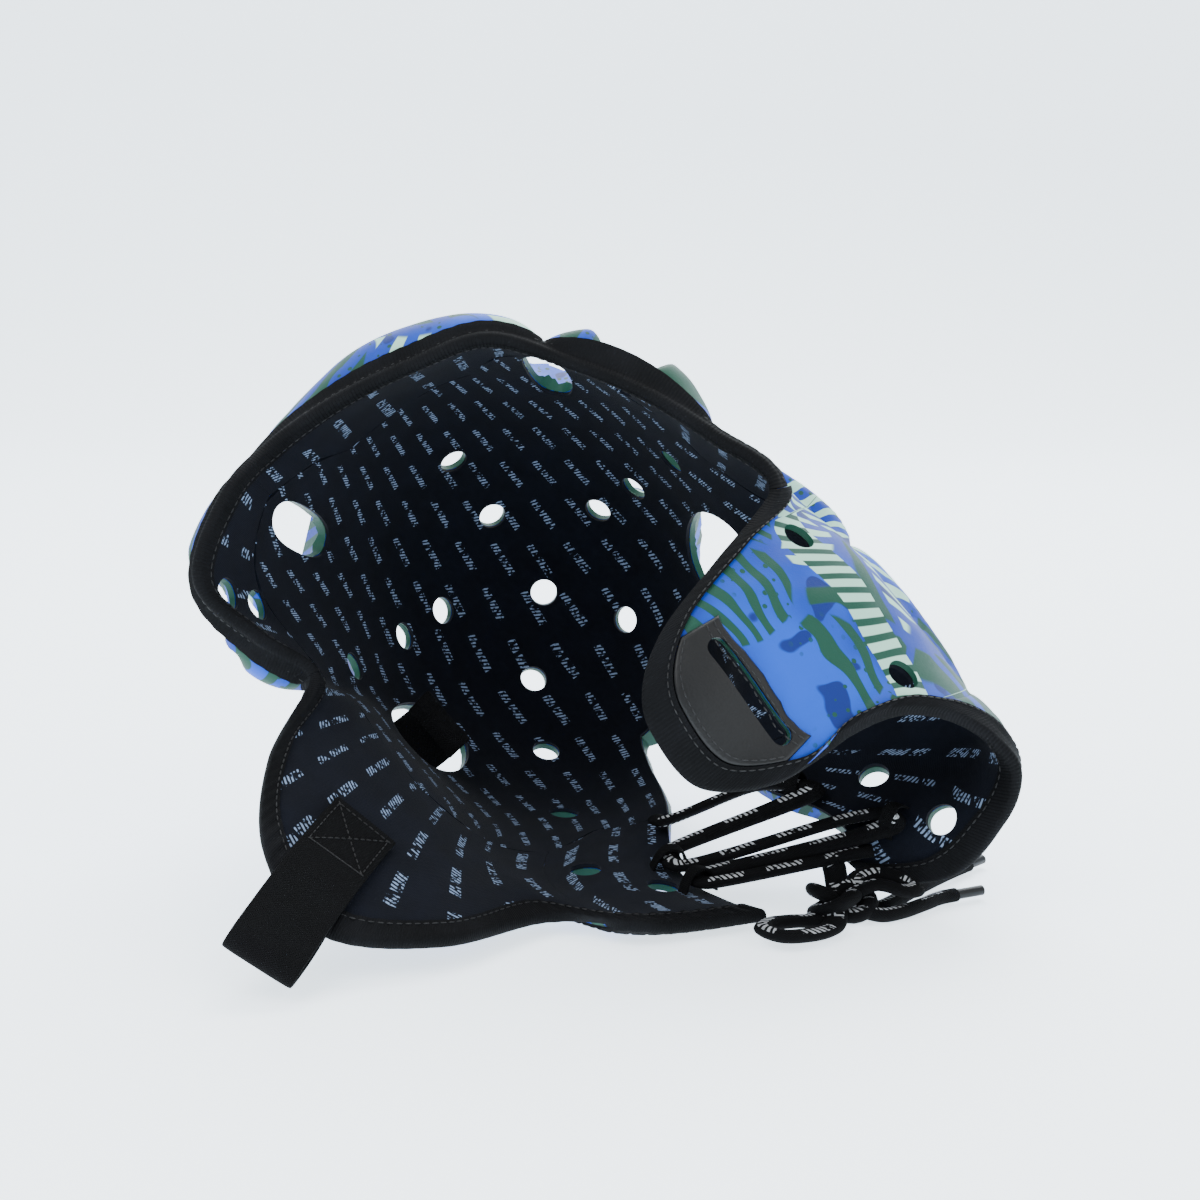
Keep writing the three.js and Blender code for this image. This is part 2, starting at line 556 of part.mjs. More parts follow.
/** A round cord along hand-chosen points, lying on the floor at the lowest. */
function cord(points, diameter, steps) {
  const curve = new THREE.CatmullRomCurve3(points.map(([x, y, z]) => new THREE.Vector3(x, y, z)), false, 'centripetal');
  const circle = new THREE.Shape();
  for (let i = 0; i < LACE_SIDES; i += 1) {
    const angle = (2 * Math.PI * i) / LACE_SIDES;
    circle[i ? 'lineTo' : 'moveTo']((diameter / 2) * Math.cos(angle), (diameter / 2) * Math.sin(angle));
  }
  return closed(new THREE.ExtrudeGeometry(circle, { extrudePath: curve, steps, bevelEnabled: false }));
}

/** A place on or over the hollow's face, from a row of turn, level and height. */
function onFace({ turn, level, height }) {
  return hollow(turn, level).addScaledVector(directions(turn, level).out, height);
}

// The lace's crossings over the back split, a hand's breadth inside the lining: turn and level
const LACE_HEIGHT = -4.6;
const LACE_TURNS = [
  [-176.9, 1.38], [-178.8, 1.43], [172.4, 1.46], [170.6, 1.51], [170.5, 1.62], [172, 1.67], [-179.1, 1.72],
  [-177.3, 1.77], [-177.3, 1.88], [-179, 1.92], [174.8, 1.94], [173, 1.98], [173.1, 2.09], [174.8, 2.13],
  [-179.2, 2.18], [-177.7, 2.23], [-177.7, 2.33], [-179, 2.37], [176.6, 2.4],
];
const LACE_STEPS = 38;
const LOOPS = [[170.5, 1.565], [-177.3, 1.825], [173.05, 2.035], [-177.7, 2.28]];

// Knot and bow on the floor in front of the split, in millimetres from the hollow's middle on the floor
const KNOT = { x: 106.7, y: -63.7, z: 6.6, radius: 6.6, tube: 2.5, sides: 6, steps: 22 };
const LACE_TO_KNOT = [[106, -50.5, 17], [106.4, -52.8, 14.4], [106.6, -57.4, 11.2]];
const FRONT_BOW = [
  [99.8, -69.4, 4.4], [96.6, -73.4, 3.4], [89.6, -76.2, 4], [82.6, -80.2, 4.6], [79.6, -86.4, 4.8], [84.6, -91.4, 4.4], [92.6, -89.6, 4],
  [99.4, -84.4, 3.6], [103.2, -77.8, 3.4], [104.4, -72.6, 4.4],
];
const BACK_BOW = [
  [112.6, -58, 10.2], [115, -54.4, 12], [120.6, -54.4, 13.6], [128.2, -57, 12.6], [132.4, -61.4, 10.6], [129.2, -65.6, 10.8],
  [122.4, -64.4, 12.4], [119, -63.6, 12.4], [113.6, -64, 10.6],
];
const BOW_STEPS = 11;
const LOOP_STEPS = 5;
const END_A = [
  [114.4, -60.8, 4.2], [120.6, -60.2, 3.2], [127, -53.6, 3], [135.6, -42.6, 3], [145.4, -30.6, 3], [154.4, -20.4, 3], [161, -13.6, 3],
];
const END_B = [
  [114.8, -67.6, 4.2], [120.8, -68.2, 3.2], [128, -64.4, 3], [136.6, -57, 3], [144, -50, 3], [150, -46.6, 3],
];
const END_STEPS = 9;
const AGLET_A = [[161.3, -13.3, 3], [167.7, -6.7, 3]];
const AGLET_B = [[150.4, -46.4, 3], [160.4, -41.6, 3]];

/** A small arch of webbing over the lace where it runs along the split's edge. */
function webbingLoop(turn, level) {
  const [foot, top, half] = [-1.4, -9.8, 6.6];
  const { out, down, round } = directions(turn, level);
  const stations = [-1, -0.8, 0, 0.8, 1].map((share) => {
    const height = share * share === 1 ? foot : lerp(top, foot, share * share * 0.7);
    return { point: hollow(turn, level).addScaledVector(round, share * half).addScaledVector(out, height), across: down };
  });
  return ribbon(stations, LOOP_STEPS, WEBBING_WIDTH, WEBBING);
}

function knot() {
  const { x, y, z, radius, tube, sides, steps } = KNOT;
  const geometry = new THREE.TorusKnotGeometry(radius, tube, steps, sides);
  geometry.translate(x, y, z);
  return closed(geometry);
}

const group = new THREE.Group();

function add(name, geometry, color, roughness) {
  const mesh = new THREE.Mesh(geometry, new THREE.MeshStandardMaterial({ color, roughness, metalness: 0 }));
  mesh.name = name;
  group.add(mesh);
  return mesh;
}

const PRINT = 0x2c6fc4;
const LINING_COLOUR = 0x0b101c;
const TAPE_COLOUR = 0x2f3136;
const WEBBING_COLOUR = 0x1a1c20;
const LACE_COLOUR = 0x111216;
const PATCH_COLOUR = 0x24272b;

const shellFoot = LINING + GAP;
const crownCutters = [
  ...vents(mirrored(CROWN_VENTS)),
  ...mirrored([EAR]).map((spot) => plug(spot.turn, spot.level, EAR_WIDTH, EAR_LENGTH, EAR_SIDES)),
  ...mirrored([TEMPLE_VENT]).map((spot) => plug(spot.turn, spot.level, TEMPLE_VENT_WIDTH, TEMPLE_VENT_LENGTH, TEMPLE_SIDES)),
  splitCutter(),
];
const crown = bowl(shellFoot, (share, level, seam) => shellFoot + SHELL + crownLift(share, level, seam), BAND_CUTS);
add('crown_shell', cut(crown, crownCutters), PRINT, 0.6);
add('crown_lining', cut(bowl(0, () => LINING, PLAIN_CUTS), crownCutters), LINING_COLOUR, 0.85);

const slot = slotCutter();
const lowerPanels = [
  { name: 'forehead_band', columns: columnsBetween(-TEMPLE_TURN, TEMPLE_TURN), cutters: [] },
  {
    name: 'cheek_left', columns: columnsBetween(TEMPLE_TURN, NAPE_TURN),
    cutters: [...vents(CHEEK_VENTS), ...vents(FLAP_VENTS), slot],
  },
  {
    name: 'cheek_right', columns: columnsBetween(-NAPE_TURN, -TEMPLE_TURN),
    cutters: vents(CHEEK_VENTS.map((spot) => ({ ...spot, turn: -spot.turn }))),
  },
  { name: 'nape_left', columns: leanedToSplit(columnsBetween(NAPE_TURN, 180)), cutters: vents(LEFT_NAPE_VENTS) },
  { name: 'nape_right', columns: columnsBetween(-180, -NAPE_TURN), cutters: vents(RIGHT_NAPE_VENTS) },
];
const sewn = [];
for (const { name, columns, cutters } of lowerPanels) {
  sewn.push(add(name, cut(panel(columns, shellFoot, lowerWall), cutters), PRINT, 0.6).geometry);
  sewn.push(add(`${name}_lining`, cut(panel(columns, 0, () => LINING), cutters), LINING_COLOUR, 0.85).geometry);
}

const rimTurns = lowerPanels.flatMap(({ columns }) => columns.map(({ foot }) => foot)).sort((a, b) => a - b)
  .filter((turn, i, all) => i === 0 || turn - all[i - 1] > 3 * PANEL_GAP);
const tapeTurns = (from, to) => {
  const between = rimTurns.filter((turn) => turn > from + 3 * PANEL_GAP && turn < to - 3 * PANEL_GAP);
  return [from + PANEL_GAP, ...between, to - PANEL_GAP];
};
add('face_binding', cut(binding(tapeTurns(-BINDING_JOIN_RIGHT, BINDING_JOIN_LEFT)), sewn), TAPE_COLOUR, 0.7);
const leftTape = cut(binding(tapeTurns(BINDING_JOIN_LEFT, SPLIT_FOOT + PANEL_GAP)), sewn);
add('neck_binding_left', leftTape, TAPE_COLOUR, 0.7);
add('neck_binding_right', cut(binding(tapeTurns(-180, -BINDING_JOIN_RIGHT)), sewn), TAPE_COLOUR, 0.7);
add('slot_patch', cut(slotPatch(), [slot, leftTape, ...sewn]), PATCH_COLOUR, 0.4);
add('chin_strap', ribbon(strapStations, STRAP_STEPS, STRAP_WIDTH, STRAP), WEBBING_COLOUR, 0.6);

const laceRun = LACE_TURNS.map(([turn, level]) => onFace({ turn, level, height: LACE_HEIGHT }).toArray());
const tied = knot();
const tie = (points, steps) => cut(cord(points, LACE, steps), [tied]);
const crossings = tie([...laceRun, ...LACE_TO_KNOT], LACE_STEPS);
add('lace_crossings', crossings, LACE_COLOUR, 0.6);
LOOPS.forEach(([turn, level], i) => {
  add(`lace_loop_${i + 1}`, cut(webbingLoop(turn, level), [crossings, ...sewn]), WEBBING_COLOUR, 0.6);
});
add('lace_knot', tied, LACE_COLOUR, 0.6);
add('lace_bow_front', tie(FRONT_BOW, BOW_STEPS), LACE_COLOUR, 0.6);
add('lace_bow_back', tie(BACK_BOW, BOW_STEPS), LACE_COLOUR, 0.6);
const free = [
  add('lace_end_a', tie(END_A, END_STEPS), LACE_COLOUR, 0.6),
  add('lace_end_b', tie(END_B, END_STEPS), LACE_COLOUR, 0.6),
  add('aglet_a', cord(AGLET_A, AGLET, 1), LACE_COLOUR, 0.3),
  add('aglet_b', cord(AGLET_B, AGLET, 1), LACE_COLOUR, 0.3),
];

const box = new THREE.Box3();
for (const mesh of group.children) {
  if (!free.includes(mesh)) box.expandByObject(mesh);
}
const middle = box.getCenter(new THREE.Vector3());
for (const mesh of group.children) mesh.geometry.translate(-middle.x, -middle.y, -box.min.z);

export default group;
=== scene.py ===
"""Rugby scrum cap lying on its back: quilted printed shell, dark lining, bound flaps, strap and lace."""
from __future__ import annotations

import logging
import math
from dataclasses import dataclass
from enum import Enum

import bmesh
import bpy
import numpy as np
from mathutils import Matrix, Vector


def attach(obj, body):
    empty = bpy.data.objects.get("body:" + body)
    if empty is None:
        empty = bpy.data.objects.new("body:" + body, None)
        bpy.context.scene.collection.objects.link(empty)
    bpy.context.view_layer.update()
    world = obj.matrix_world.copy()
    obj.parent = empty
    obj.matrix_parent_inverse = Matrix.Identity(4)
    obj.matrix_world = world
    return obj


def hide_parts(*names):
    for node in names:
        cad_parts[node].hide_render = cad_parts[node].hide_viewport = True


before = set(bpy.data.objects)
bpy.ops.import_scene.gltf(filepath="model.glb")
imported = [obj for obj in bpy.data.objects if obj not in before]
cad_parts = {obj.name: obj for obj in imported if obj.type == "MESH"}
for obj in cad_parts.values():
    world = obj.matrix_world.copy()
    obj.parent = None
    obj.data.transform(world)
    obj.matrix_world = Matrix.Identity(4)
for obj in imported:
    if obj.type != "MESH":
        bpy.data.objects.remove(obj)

LOG = logging.getLogger("scrum_cap")
MM = 0.001
ROOT = "root"


class Slot(Enum):
    """The record's material slots."""

    CLOTH = "printed_cloth"
    LINING = "lining_cloth"
    TAPE = "binding_tape"
    PATCH = "patch"
    WEBBING = "webbing"
    LACE = "lace"
    TIP = "aglet"


class Panel(Enum):
    """The lower panels, by the names of their nodes."""

    BAND = "forehead_band"
    CHEEK_LEFT = "cheek_left"
    CHEEK_RIGHT = "cheek_right"
    NAPE_LEFT = "nape_left"
    NAPE_RIGHT = "nape_right"


@dataclass(frozen=True)
class CapShape:
    """The rib surface of the head hollow, in millimetres, as the solids have it."""

    half_length: float = 91.4
    half_width: float = 75.9
    crown_height: float = 122.0
    skirt_drop: float = 100.0
    side_start: float = math.radians(66)
    rest_height: float = 99.618
    rim_clear: float = 5.2
    rim_softness: float = 2.0
    middle: tuple[float, float, float] = (26.216, -5.355, 0.0)
    forward: tuple[float, float, float] = (-0.52924, 0.32114, 0.78535)
    left: tuple[float, float, float] = (0.84067, 0.07322, 0.53657)
    up: tuple[float, float, float] = (0.11481, 0.9442, -0.30873)


# Turn in degrees, then the waist ring's and the rim ring's forward, left and drop shares
SECTIONS = np.array([
    [-180, -1.29, -0.08, 0.05, -1.53, 0.14, 0.31],
    [-165, -1.2, -0.29, 0.2, -1.43, -0.13, 0.42],
    [-150, -1.06, -0.56, 0.26, -1.29, -0.37, 0.52],
    [-138, -0.88, -0.76, 0.27, -1.11, -0.66, 0.46],
    [-126, -0.68, -0.86, 0.27, -1.01, -1.01, 0.8],
    [-115, -0.46, -0.92, 0.27, -0.77, -1.37, 0.95],
    [-104, -0.24, -0.97, 0.26, -0.4, -1.42, 0.88],
    [-94, -0.07, -1.01, 0.24, -0.09, -1.28, 0.62],
    [-84, 0.13, -1.03, 0.2, 0.13, -1.01, 0.34],
    [-72, 0.33, -1.07, 0.24, 0.37, -1.11, 0.48],
    [-60, 0.54, -1.05, 0.32, 0.61, -1.16, 0.65],
    [-48, 0.74, -0.88, 0.29, 0.85, -0.86, 0.6],
    [-35, 0.9, -0.6, 0.18, 0.97, -0.61, 0.45],
    [-15, 1, -0.26, 0.1, 1, -0.24, 0.39],
    [10, 1, 0.16, 0.1, 0.96, 0.13, 0.38],
    [30, 0.9, 0.48, 0.14, 0.88, 0.5, 0.39],
    [50, 0.69, 0.76, 0.16, 0.63, 0.76, 0.35],
    [70, 0.37, 0.98, 0.18, 0.36, 0.97, 0.38],
    [86, 0.07, 1.12, 0.18, 0.07, 1.12, 0.41],
    [100, -0.22, 1.26, 0.12, -0.23, 1.22, 0.42],
    [106, -0.38, 1.32, 0.12, -0.38, 0.84, 0.63],
    [112, -0.47, 1.35, 0.12, -0.52, 0.47, 0.78],
    [116, -0.53, 1.36, 0.12, -0.64, 0.29, 0.83],
    [120, -0.61, 1.38, 0.11, -0.79, 0.21, 0.84],
    [125, -0.7, 1.39, 0.09, -1.04, 0.25, 0.78],
    [130, -0.79, 1.4, 0.08, -1.17, 0.53, 0.73],
    [136, -0.92, 1.42, 0.06, -1.16, 0.88, 0.64],
    [142, -1.09, 1.44, 0.04, -1.18, 1.09, 0.56],
    [148, -1.24, 1.45, 0.02, -1.24, 1.23, 0.48],
    [154, -1.35, 1.44, 0.02, -1.33, 1.34, 0.4],
    [160, -1.43, 1.41, 0.02, -1.45, 1.41, 0.34],
    [165, -1.5, 1.29, 0.02, -1.59, 1.42, 0.28],
    [170, -1.52, 1.04, 0.02, -1.71, 1.25, 0.2],
    [175, -1.48, 0.76, 0, -1.77, 0.92, 0.08],
    [180, -1.38, 0.45, 0, -1.56, 0.5, -0.04],
])

# The seam under the crown: degrees from the forehead on either side, level
SEAM = np.array([
    [0, 1.76], [21.2, 1.78], [42.5, 2.36], [60.6, 1.97], [75.8, 1.85], [83, 1.76], [92.7, 1.8],
    [100, 1.85], [114.4, 1.88], [133.6, 1.72], [148, 1.5], [157.6, 1.15], [170.4, 1.2], [180, 1.25],
])

# Crown grooves that run down: degrees at the crown, degrees gained a level, last level of the gain
GROOVES = np.array([[0, 0, 0], [33, 31, 1.38], [100, 0, 0], [111, 37, 1], [180, 0, 0]])
# Levels of the grooves that run round, and how far the last one lies from there to the seam
CROWN_BANDS = (0.0, 0.26, 0.6, 0.93)
LAST_BAND = 0.5

# Lower pads: first and last turn, the level where they end, height
LOWER_PADS = np.array([
    [0, 42.5, 2.93, 15], [42.5, 84, 2.93, 14], [84, 116, 2.05, 6], [116, 148, 2.05, 6], [148, 180, 2.86, 4],
])

# The back split: level, first and last turn
SPLIT = np.array([
    [0.53, 169, 176], [0.58, 166.5, 178.5], [0.7, 164.5, 180], [1, 163, 180.3], [1.5, 163.5, 180.3],
])

# Sheet thicknesses and the room between them, then the height of the crown's pads, in millimetres
LINING, GAP, SHELL = 1.0, 0.3, 2.4
CROWN_PAD = 13.0
PAD_FULLNESS = 0.6
# Levels of the rim and of the waist ring
RIM, WAIST = 3.0, 2.0
BINDING_WIDTH = 9.0
# How far the wall is pinched at the rim in millimetres, and from how many levels above it
RIM_PINCH, PINCH_REACH = 1.7, 0.22
# Room at the seams, in levels under the crown and in degrees beside a panel
SEAM_GAP, PANEL_GAP = 0.006, 0.04
# Turn of the split's edge at the rim, and how quickly the left nape's edge reaches it
SPLIT_FOOT, SPLIT_LEAN = 178.5, 3.5
# Wide openings at ear and temple, alike on both sides: degrees, level, width and length in millimetres
EAR_HOLE = (99, 0.98, 35, 54)
TEMPLE_VENT = (43.5, 1.76, 17, 44)
# A strip map value that lies far outside the pale strip
NO_STRIP = 999.0


def unit(vectors: np.ndarray) -> np.ndarray:
    """Vectors scaled to length one."""
    return vectors / np.maximum(np.linalg.norm(vectors, axis=-1, keepdims=True), 1e-9)


def pillow(share: np.ndarray) -> np.ndarray:
    """Height share across a pad, from one edge groove to the other."""
    return np.sin(np.pi * np.clip(share, 0, 1)) ** PAD_FULLNESS


class Ribs:
    """Reads points and directions off the rib surface."""

    # Steps in degrees and in levels that a direction is read over, and the least level it is read at
    turn_step = 0.5
    level_step = 0.004
    pole_level = 0.02
    dome_step = 0.01

    def __init__(self, shape: CapShape) -> None:
        """Takes the shape and works out the slopes of its rings."""
        self.shape = shape
        self.axes = np.array([shape.forward, shape.left, shape.up])
        self.scale = np.array([shape.half_length, shape.half_width, -shape.skirt_drop] * 2)
        self.turns = SECTIONS[:, 0]
        self.rows = SECTIONS[:, 1:] * self.scale
        before = np.vstack([self.rows[:1], self.rows[:-1]])
        after = np.vstack([self.rows[1:], self.rows[-1:]])
        low = np.concatenate([self.turns[:1], self.turns[:-1]])
        high = np.concatenate([self.turns[1:], self.turns[-1:]])
        self.slopes = (after - before) / (high - low)[:, None]

    def place(self, local: np.ndarray) -> np.ndarray:
        """Points of the cap's own frame, as points on the floor's frame in millimetres."""
        return local @ self.axes + np.array([0, 0, self.shape.rest_height])

    @staticmethod
    def hermite(a: np.ndarray, b: np.ndarray, ta: np.ndarray, tb: np.ndarray, s: np.ndarray) -> np.ndarray:
        """Hermite blend from a to b with end slopes ta and tb at share s."""
        s2, s3 = s * s, s * s * s
        return (2 * s3 - 3 * s2 + 1) * a + (s3 - 2 * s2 + s) * ta + (3 * s2 - 2 * s3) * b + (s3 - s2) * tb

    def rings(self, turn: np.ndarray) -> tuple[np.ndarray, np.ndarray]:
        """Waist and rim points at turns, on the floor's frame."""
        at = np.clip(np.searchsorted(self.turns, turn, side="left"), 1, len(self.turns) - 1)
        span = (self.turns[at] - self.turns[at - 1])[..., None]
        s = np.clip((turn - self.turns[at - 1])[..., None] / span, 0, 1)
        before, after = self.slopes[at - 1] * span, self.slopes[at] * span
        both = self.hermite(self.rows[at - 1], self.rows[at], before, after, s)
        return self.place(both[..., :3]), self.place(both[..., 3:])

    def dome(self, turn: np.ndarray, polar: np.ndarray) -> np.ndarray:
        """Points of the dome."""
        shape, angle = self.shape, np.radians(turn)
        return self.place(np.stack([
            shape.half_length * np.sin(polar) * np.cos(angle),
            shape.half_width * np.sin(polar) * np.sin(angle),
            shape.crown_height * np.cos(polar) + 0 * angle,
        ], axis=-1))

    def hollow(self, turn: np.ndarray, level: np.ndarray) -> np.ndarray:
        """The face of the hollow at turns and levels."""
        turn, level = np.broadcast_arrays(np.asarray(turn, float), np.asarray(level, float))
        start = self.shape.side_start
        on_dome = self.dome(turn, np.clip(level, 0, 1) * start)
        foot = self.dome(turn, np.full_like(turn, start))
        leave = unit(self.dome(turn, np.full_like(turn, start + self.dome_step)) - foot)
        waist, rim = self.rings(turn)
        upper = np.linalg.norm(waist - foot, axis=-1, keepdims=True)
        lower = np.linalg.norm(rim - waist, axis=-1, keepdims=True)
        way = unit((waist - foot) * lower / upper + (rim - waist) * upper / lower)
        arrive = unit((rim - waist) * 2 / lower - way)
        v = level[..., None]
        to_waist = self.hermite(foot, waist, leave * upper, way * upper, np.clip(v - 1, 0, 1))
        to_rim = self.hermite(waist, rim, way * lower, arrive * lower, np.clip(v - 2, 0, 1))
        beyond = rim + arrive * lower * (v - RIM)
        point = np.where(v <= 1, on_dome, np.where(v <= 2, to_waist, np.where(v <= 3, to_rim, beyond)))
        clear = self.shape.rim_clear
        bend = np.hypot(point[..., 2] - clear, self.shape.rim_softness)
        point[..., 2] = (point[..., 2] + clear + bend) / 2
        return point

    def directions(self, turn: np.ndarray, level: np.ndarray) -> tuple[np.ndarray, np.ndarray]:
        """Directions out of the hollow and down the rib."""
        level = np.maximum(level, self.pole_level)
        around = unit(self.hollow(turn + self.turn_step, level) - self.hollow(turn - self.turn_step, level))
        down = unit(self.hollow(turn, level + self.level_step) - self.hollow(turn, level - self.level_step))
        return unit(np.cross(down, around)), down

    def above(self, turn: np.ndarray, level: np.ndarray, height: np.ndarray) -> np.ndarray:
        """Points a height above the hollow's face, never under the floor, in the row's frame in metres."""
        turn, level, height = np.broadcast_arrays(*(np.asarray(x, float) for x in (turn, level, height)))
        out, _ = self.directions(turn, level)
        point = self.hollow(turn, level) + out * height[..., None]
        point[..., 2] = np.maximum(point[..., 2], 0)
        return (point - np.array(self.shape.middle)) * MM

    def rib_length(self, turn: np.ndarray) -> np.ndarray:
        """Straight length from waist to rim."""
        waist, rim = self.rings(np.asarray(turn, float))
        return np.linalg.norm(rim - waist, axis=-1)


def seam_at(turn: np.ndarray) -> np.ndarray:
    """Level of the crown's seam."""
    return np.interp(np.abs(turn), SEAM[:, 0], SEAM[:, 1])


def lower_wall(turn: np.ndarray, level: np.ndarray) -> np.ndarray:
    """Wall thickness of a lower panel, pads included."""
    side = np.abs(turn)
    at = np.clip(np.searchsorted(LOWER_PADS[:, 1], side, side="left"), 0, len(LOWER_PADS) - 1)
    first, last, end, height = (LOWER_PADS[at, k] for k in range(4))
    share = (side - first) / (last - first)
    across = pillow(np.where(first == 0, 0.5 + share / 2, share))
    down = pillow((level - seam_at(turn)) / (end - seam_at(turn)))
    pinch = RIM_PINCH * np.clip(1 - (RIM - level) / PINCH_REACH, 0, 1) ** 2
    return LINING + GAP + SHELL + height * across * down - pinch


def linear(colour: str) -> tuple[float, float, float, float]:
    """An sRGB hex colour as linear values."""
    parts = [int(colour[i:i + 2], 16) / 255 for i in (1, 3, 5)]
    return (*((c / 12.92) if c <= 0.04045 else ((c + 0.055) / 1.055) ** 2.4 for c in parts), 1.0)


def add_node(
    tree: bpy.types.NodeTree, kind: str, settings: dict | None = None, inputs: dict | None = None,
) -> bpy.types.Node:
    """Adds a node.

    Args:
        tree: the node tree.
        kind: the node's type.
        settings: attributes to set.
        inputs: socket names or numbers to values or to sockets, which are linked.

    Returns:
        The new node.
    """
    made = tree.nodes.new(kind)
    for key, value in (settings or {}).items():
        setattr(made, key, value)
    for key, value in (inputs or {}).items():
        socket = made.inputs[key]
        if isinstance(value, bpy.types.NodeSocket):
            tree.links.new(value, socket)
        else:
            socket.default_value = value
    return made


class Finish:
    """A procedural material with a principled shader to build on."""

    def __init__(self, name: str, roughness: float, sheen: float = 0.0, specular: float = 0.4) -> None:
        """Makes the material with its shader's constant sockets set."""
        self.material = bpy.data.materials.new(name)
        self.material.use_nodes = True
        self.tree = self.material.node_tree
        self.tree.nodes.clear()
        self.shader = self.add("ShaderNodeBsdfPrincipled", inputs={
            "Roughness": roughness, "Specular IOR Level": specular,
            "Sheen Weight": sheen, "Sheen Roughness": 0.4,
        })
        out = self.add("ShaderNodeOutputMaterial")
        self.tree.links.new(self.shader.outputs[0], out.inputs[0])

    def add(self, kind: str, settings: dict | None = None, inputs: dict | None = None) -> bpy.types.Node:
        """Adds a node to this finish."""
        return add_node(self.tree, kind, settings, inputs)

    def link(self, socket: bpy.types.NodeSocket, name: str) -> None:
        """Links a socket to one of the shader's."""
        self.tree.links.new(socket, self.shader.inputs[name])

    def place(self) -> bpy.types.NodeSocket:
        """Object coordinates in metres."""
        return self.add("ShaderNodeTexCoord").outputs["Object"]

    def cloth_map(self) -> bpy.types.NodeSocket:
        """The piece's own cloth map, in millimetres."""
        return self.add("ShaderNodeUVMap", {"uv_map": "Cloth"}).outputs[0]

    def math(self, operation: str, *values: object) -> bpy.types.NodeSocket:
        """A math node's result."""
        return self.add("ShaderNodeMath", {"operation": operation}, dict(enumerate(values))).outputs[0]

    def noise(self, scale: float, detail: float = 2.0) -> bpy.types.NodeSocket:
        """Noise on the object's own place, its scale in waves to a metre."""
        inputs = {"Vector": self.place(), "Scale": scale, "Detail": detail}
        return self.add("ShaderNodeTexNoise", inputs=inputs).outputs[0]

    def apart(self, value: bpy.types.NodeSocket) -> tuple[bpy.types.NodeSocket, bpy.types.NodeSocket]:
        """The first two numbers of a vector."""
        parts = self.add("ShaderNodeSeparateXYZ", inputs={0: value})
        return parts.outputs[0], parts.outputs[1]

    def within(self, value: object, middle: float, reach: float) -> bpy.types.NodeSocket:
        """One where a value lies within reach of a middle, zero elsewhere."""
        return self.math("LESS_THAN", self.math("ABSOLUTE", self.math("SUBTRACT", value, middle)), reach)

    def both(self, first: object, second: object) -> bpy.types.NodeSocket:
        """The product of two shares."""
        return self.math("MULTIPLY", first, second)

    def wave(self, value: object, pitch: float) -> bpy.types.NodeSocket:
        """A sine over a value, with a pitch in the value's own unit."""
        return self.math("SINE", self.math("MULTIPLY", value, 2 * math.pi / pitch))

    def cells(self, where: object, scale: float, **settings: object) -> bpy.types.Node:
        """A cell pattern with a number of cells to a metre."""
        return self.add("ShaderNodeTexVoronoi", settings, {"Vector": where, "Scale": scale})

    def vector(self, operation: str, *values: object) -> bpy.types.Node:
        """A vector math node."""
        return self.add("ShaderNodeVectorMath", {"operation": operation}, dict(enumerate(values)))

    def mix(self, share: object, first: object, second: object) -> bpy.types.NodeSocket:
        """A colour mixed between two."""
        made = self.add("ShaderNodeMix", {"data_type": "RGBA"}, {0: share, 6: first, 7: second})
        return made.outputs[2]

    def step(self, value: bpy.types.NodeSocket, edge: float, softness: float) -> bpy.types.NodeSocket:
        """Zero under an edge and one over it, with a soft step between."""
        settings = {"interpolation_type": "SMOOTHSTEP"}
        inputs = {"Value": value, "From Min": edge - softness, "From Max": edge + softness}
        return self.add("ShaderNodeMapRange", settings, inputs).outputs[0]

    def bump(self, height: bpy.types.NodeSocket, strength: float, distance: float) -> None:
        """Bumps the shader's normal by a height in the given distance in metres."""
        inputs = {"Strength": strength, "Distance": distance, "Height": height}
        node = self.add("ShaderNodeBump", inputs=inputs)
        self.link(node.outputs[0], "Normal")

    def weave(self, pitch: float) -> bpy.types.NodeSocket:
        """Crossed threads of a pitch in millimetres on the cloth map."""
        u, v = self.apart(self.cloth_map())
        return self.math("MULTIPLY_ADD", self.wave(u, pitch), self.wave(v, pitch), 0.5)


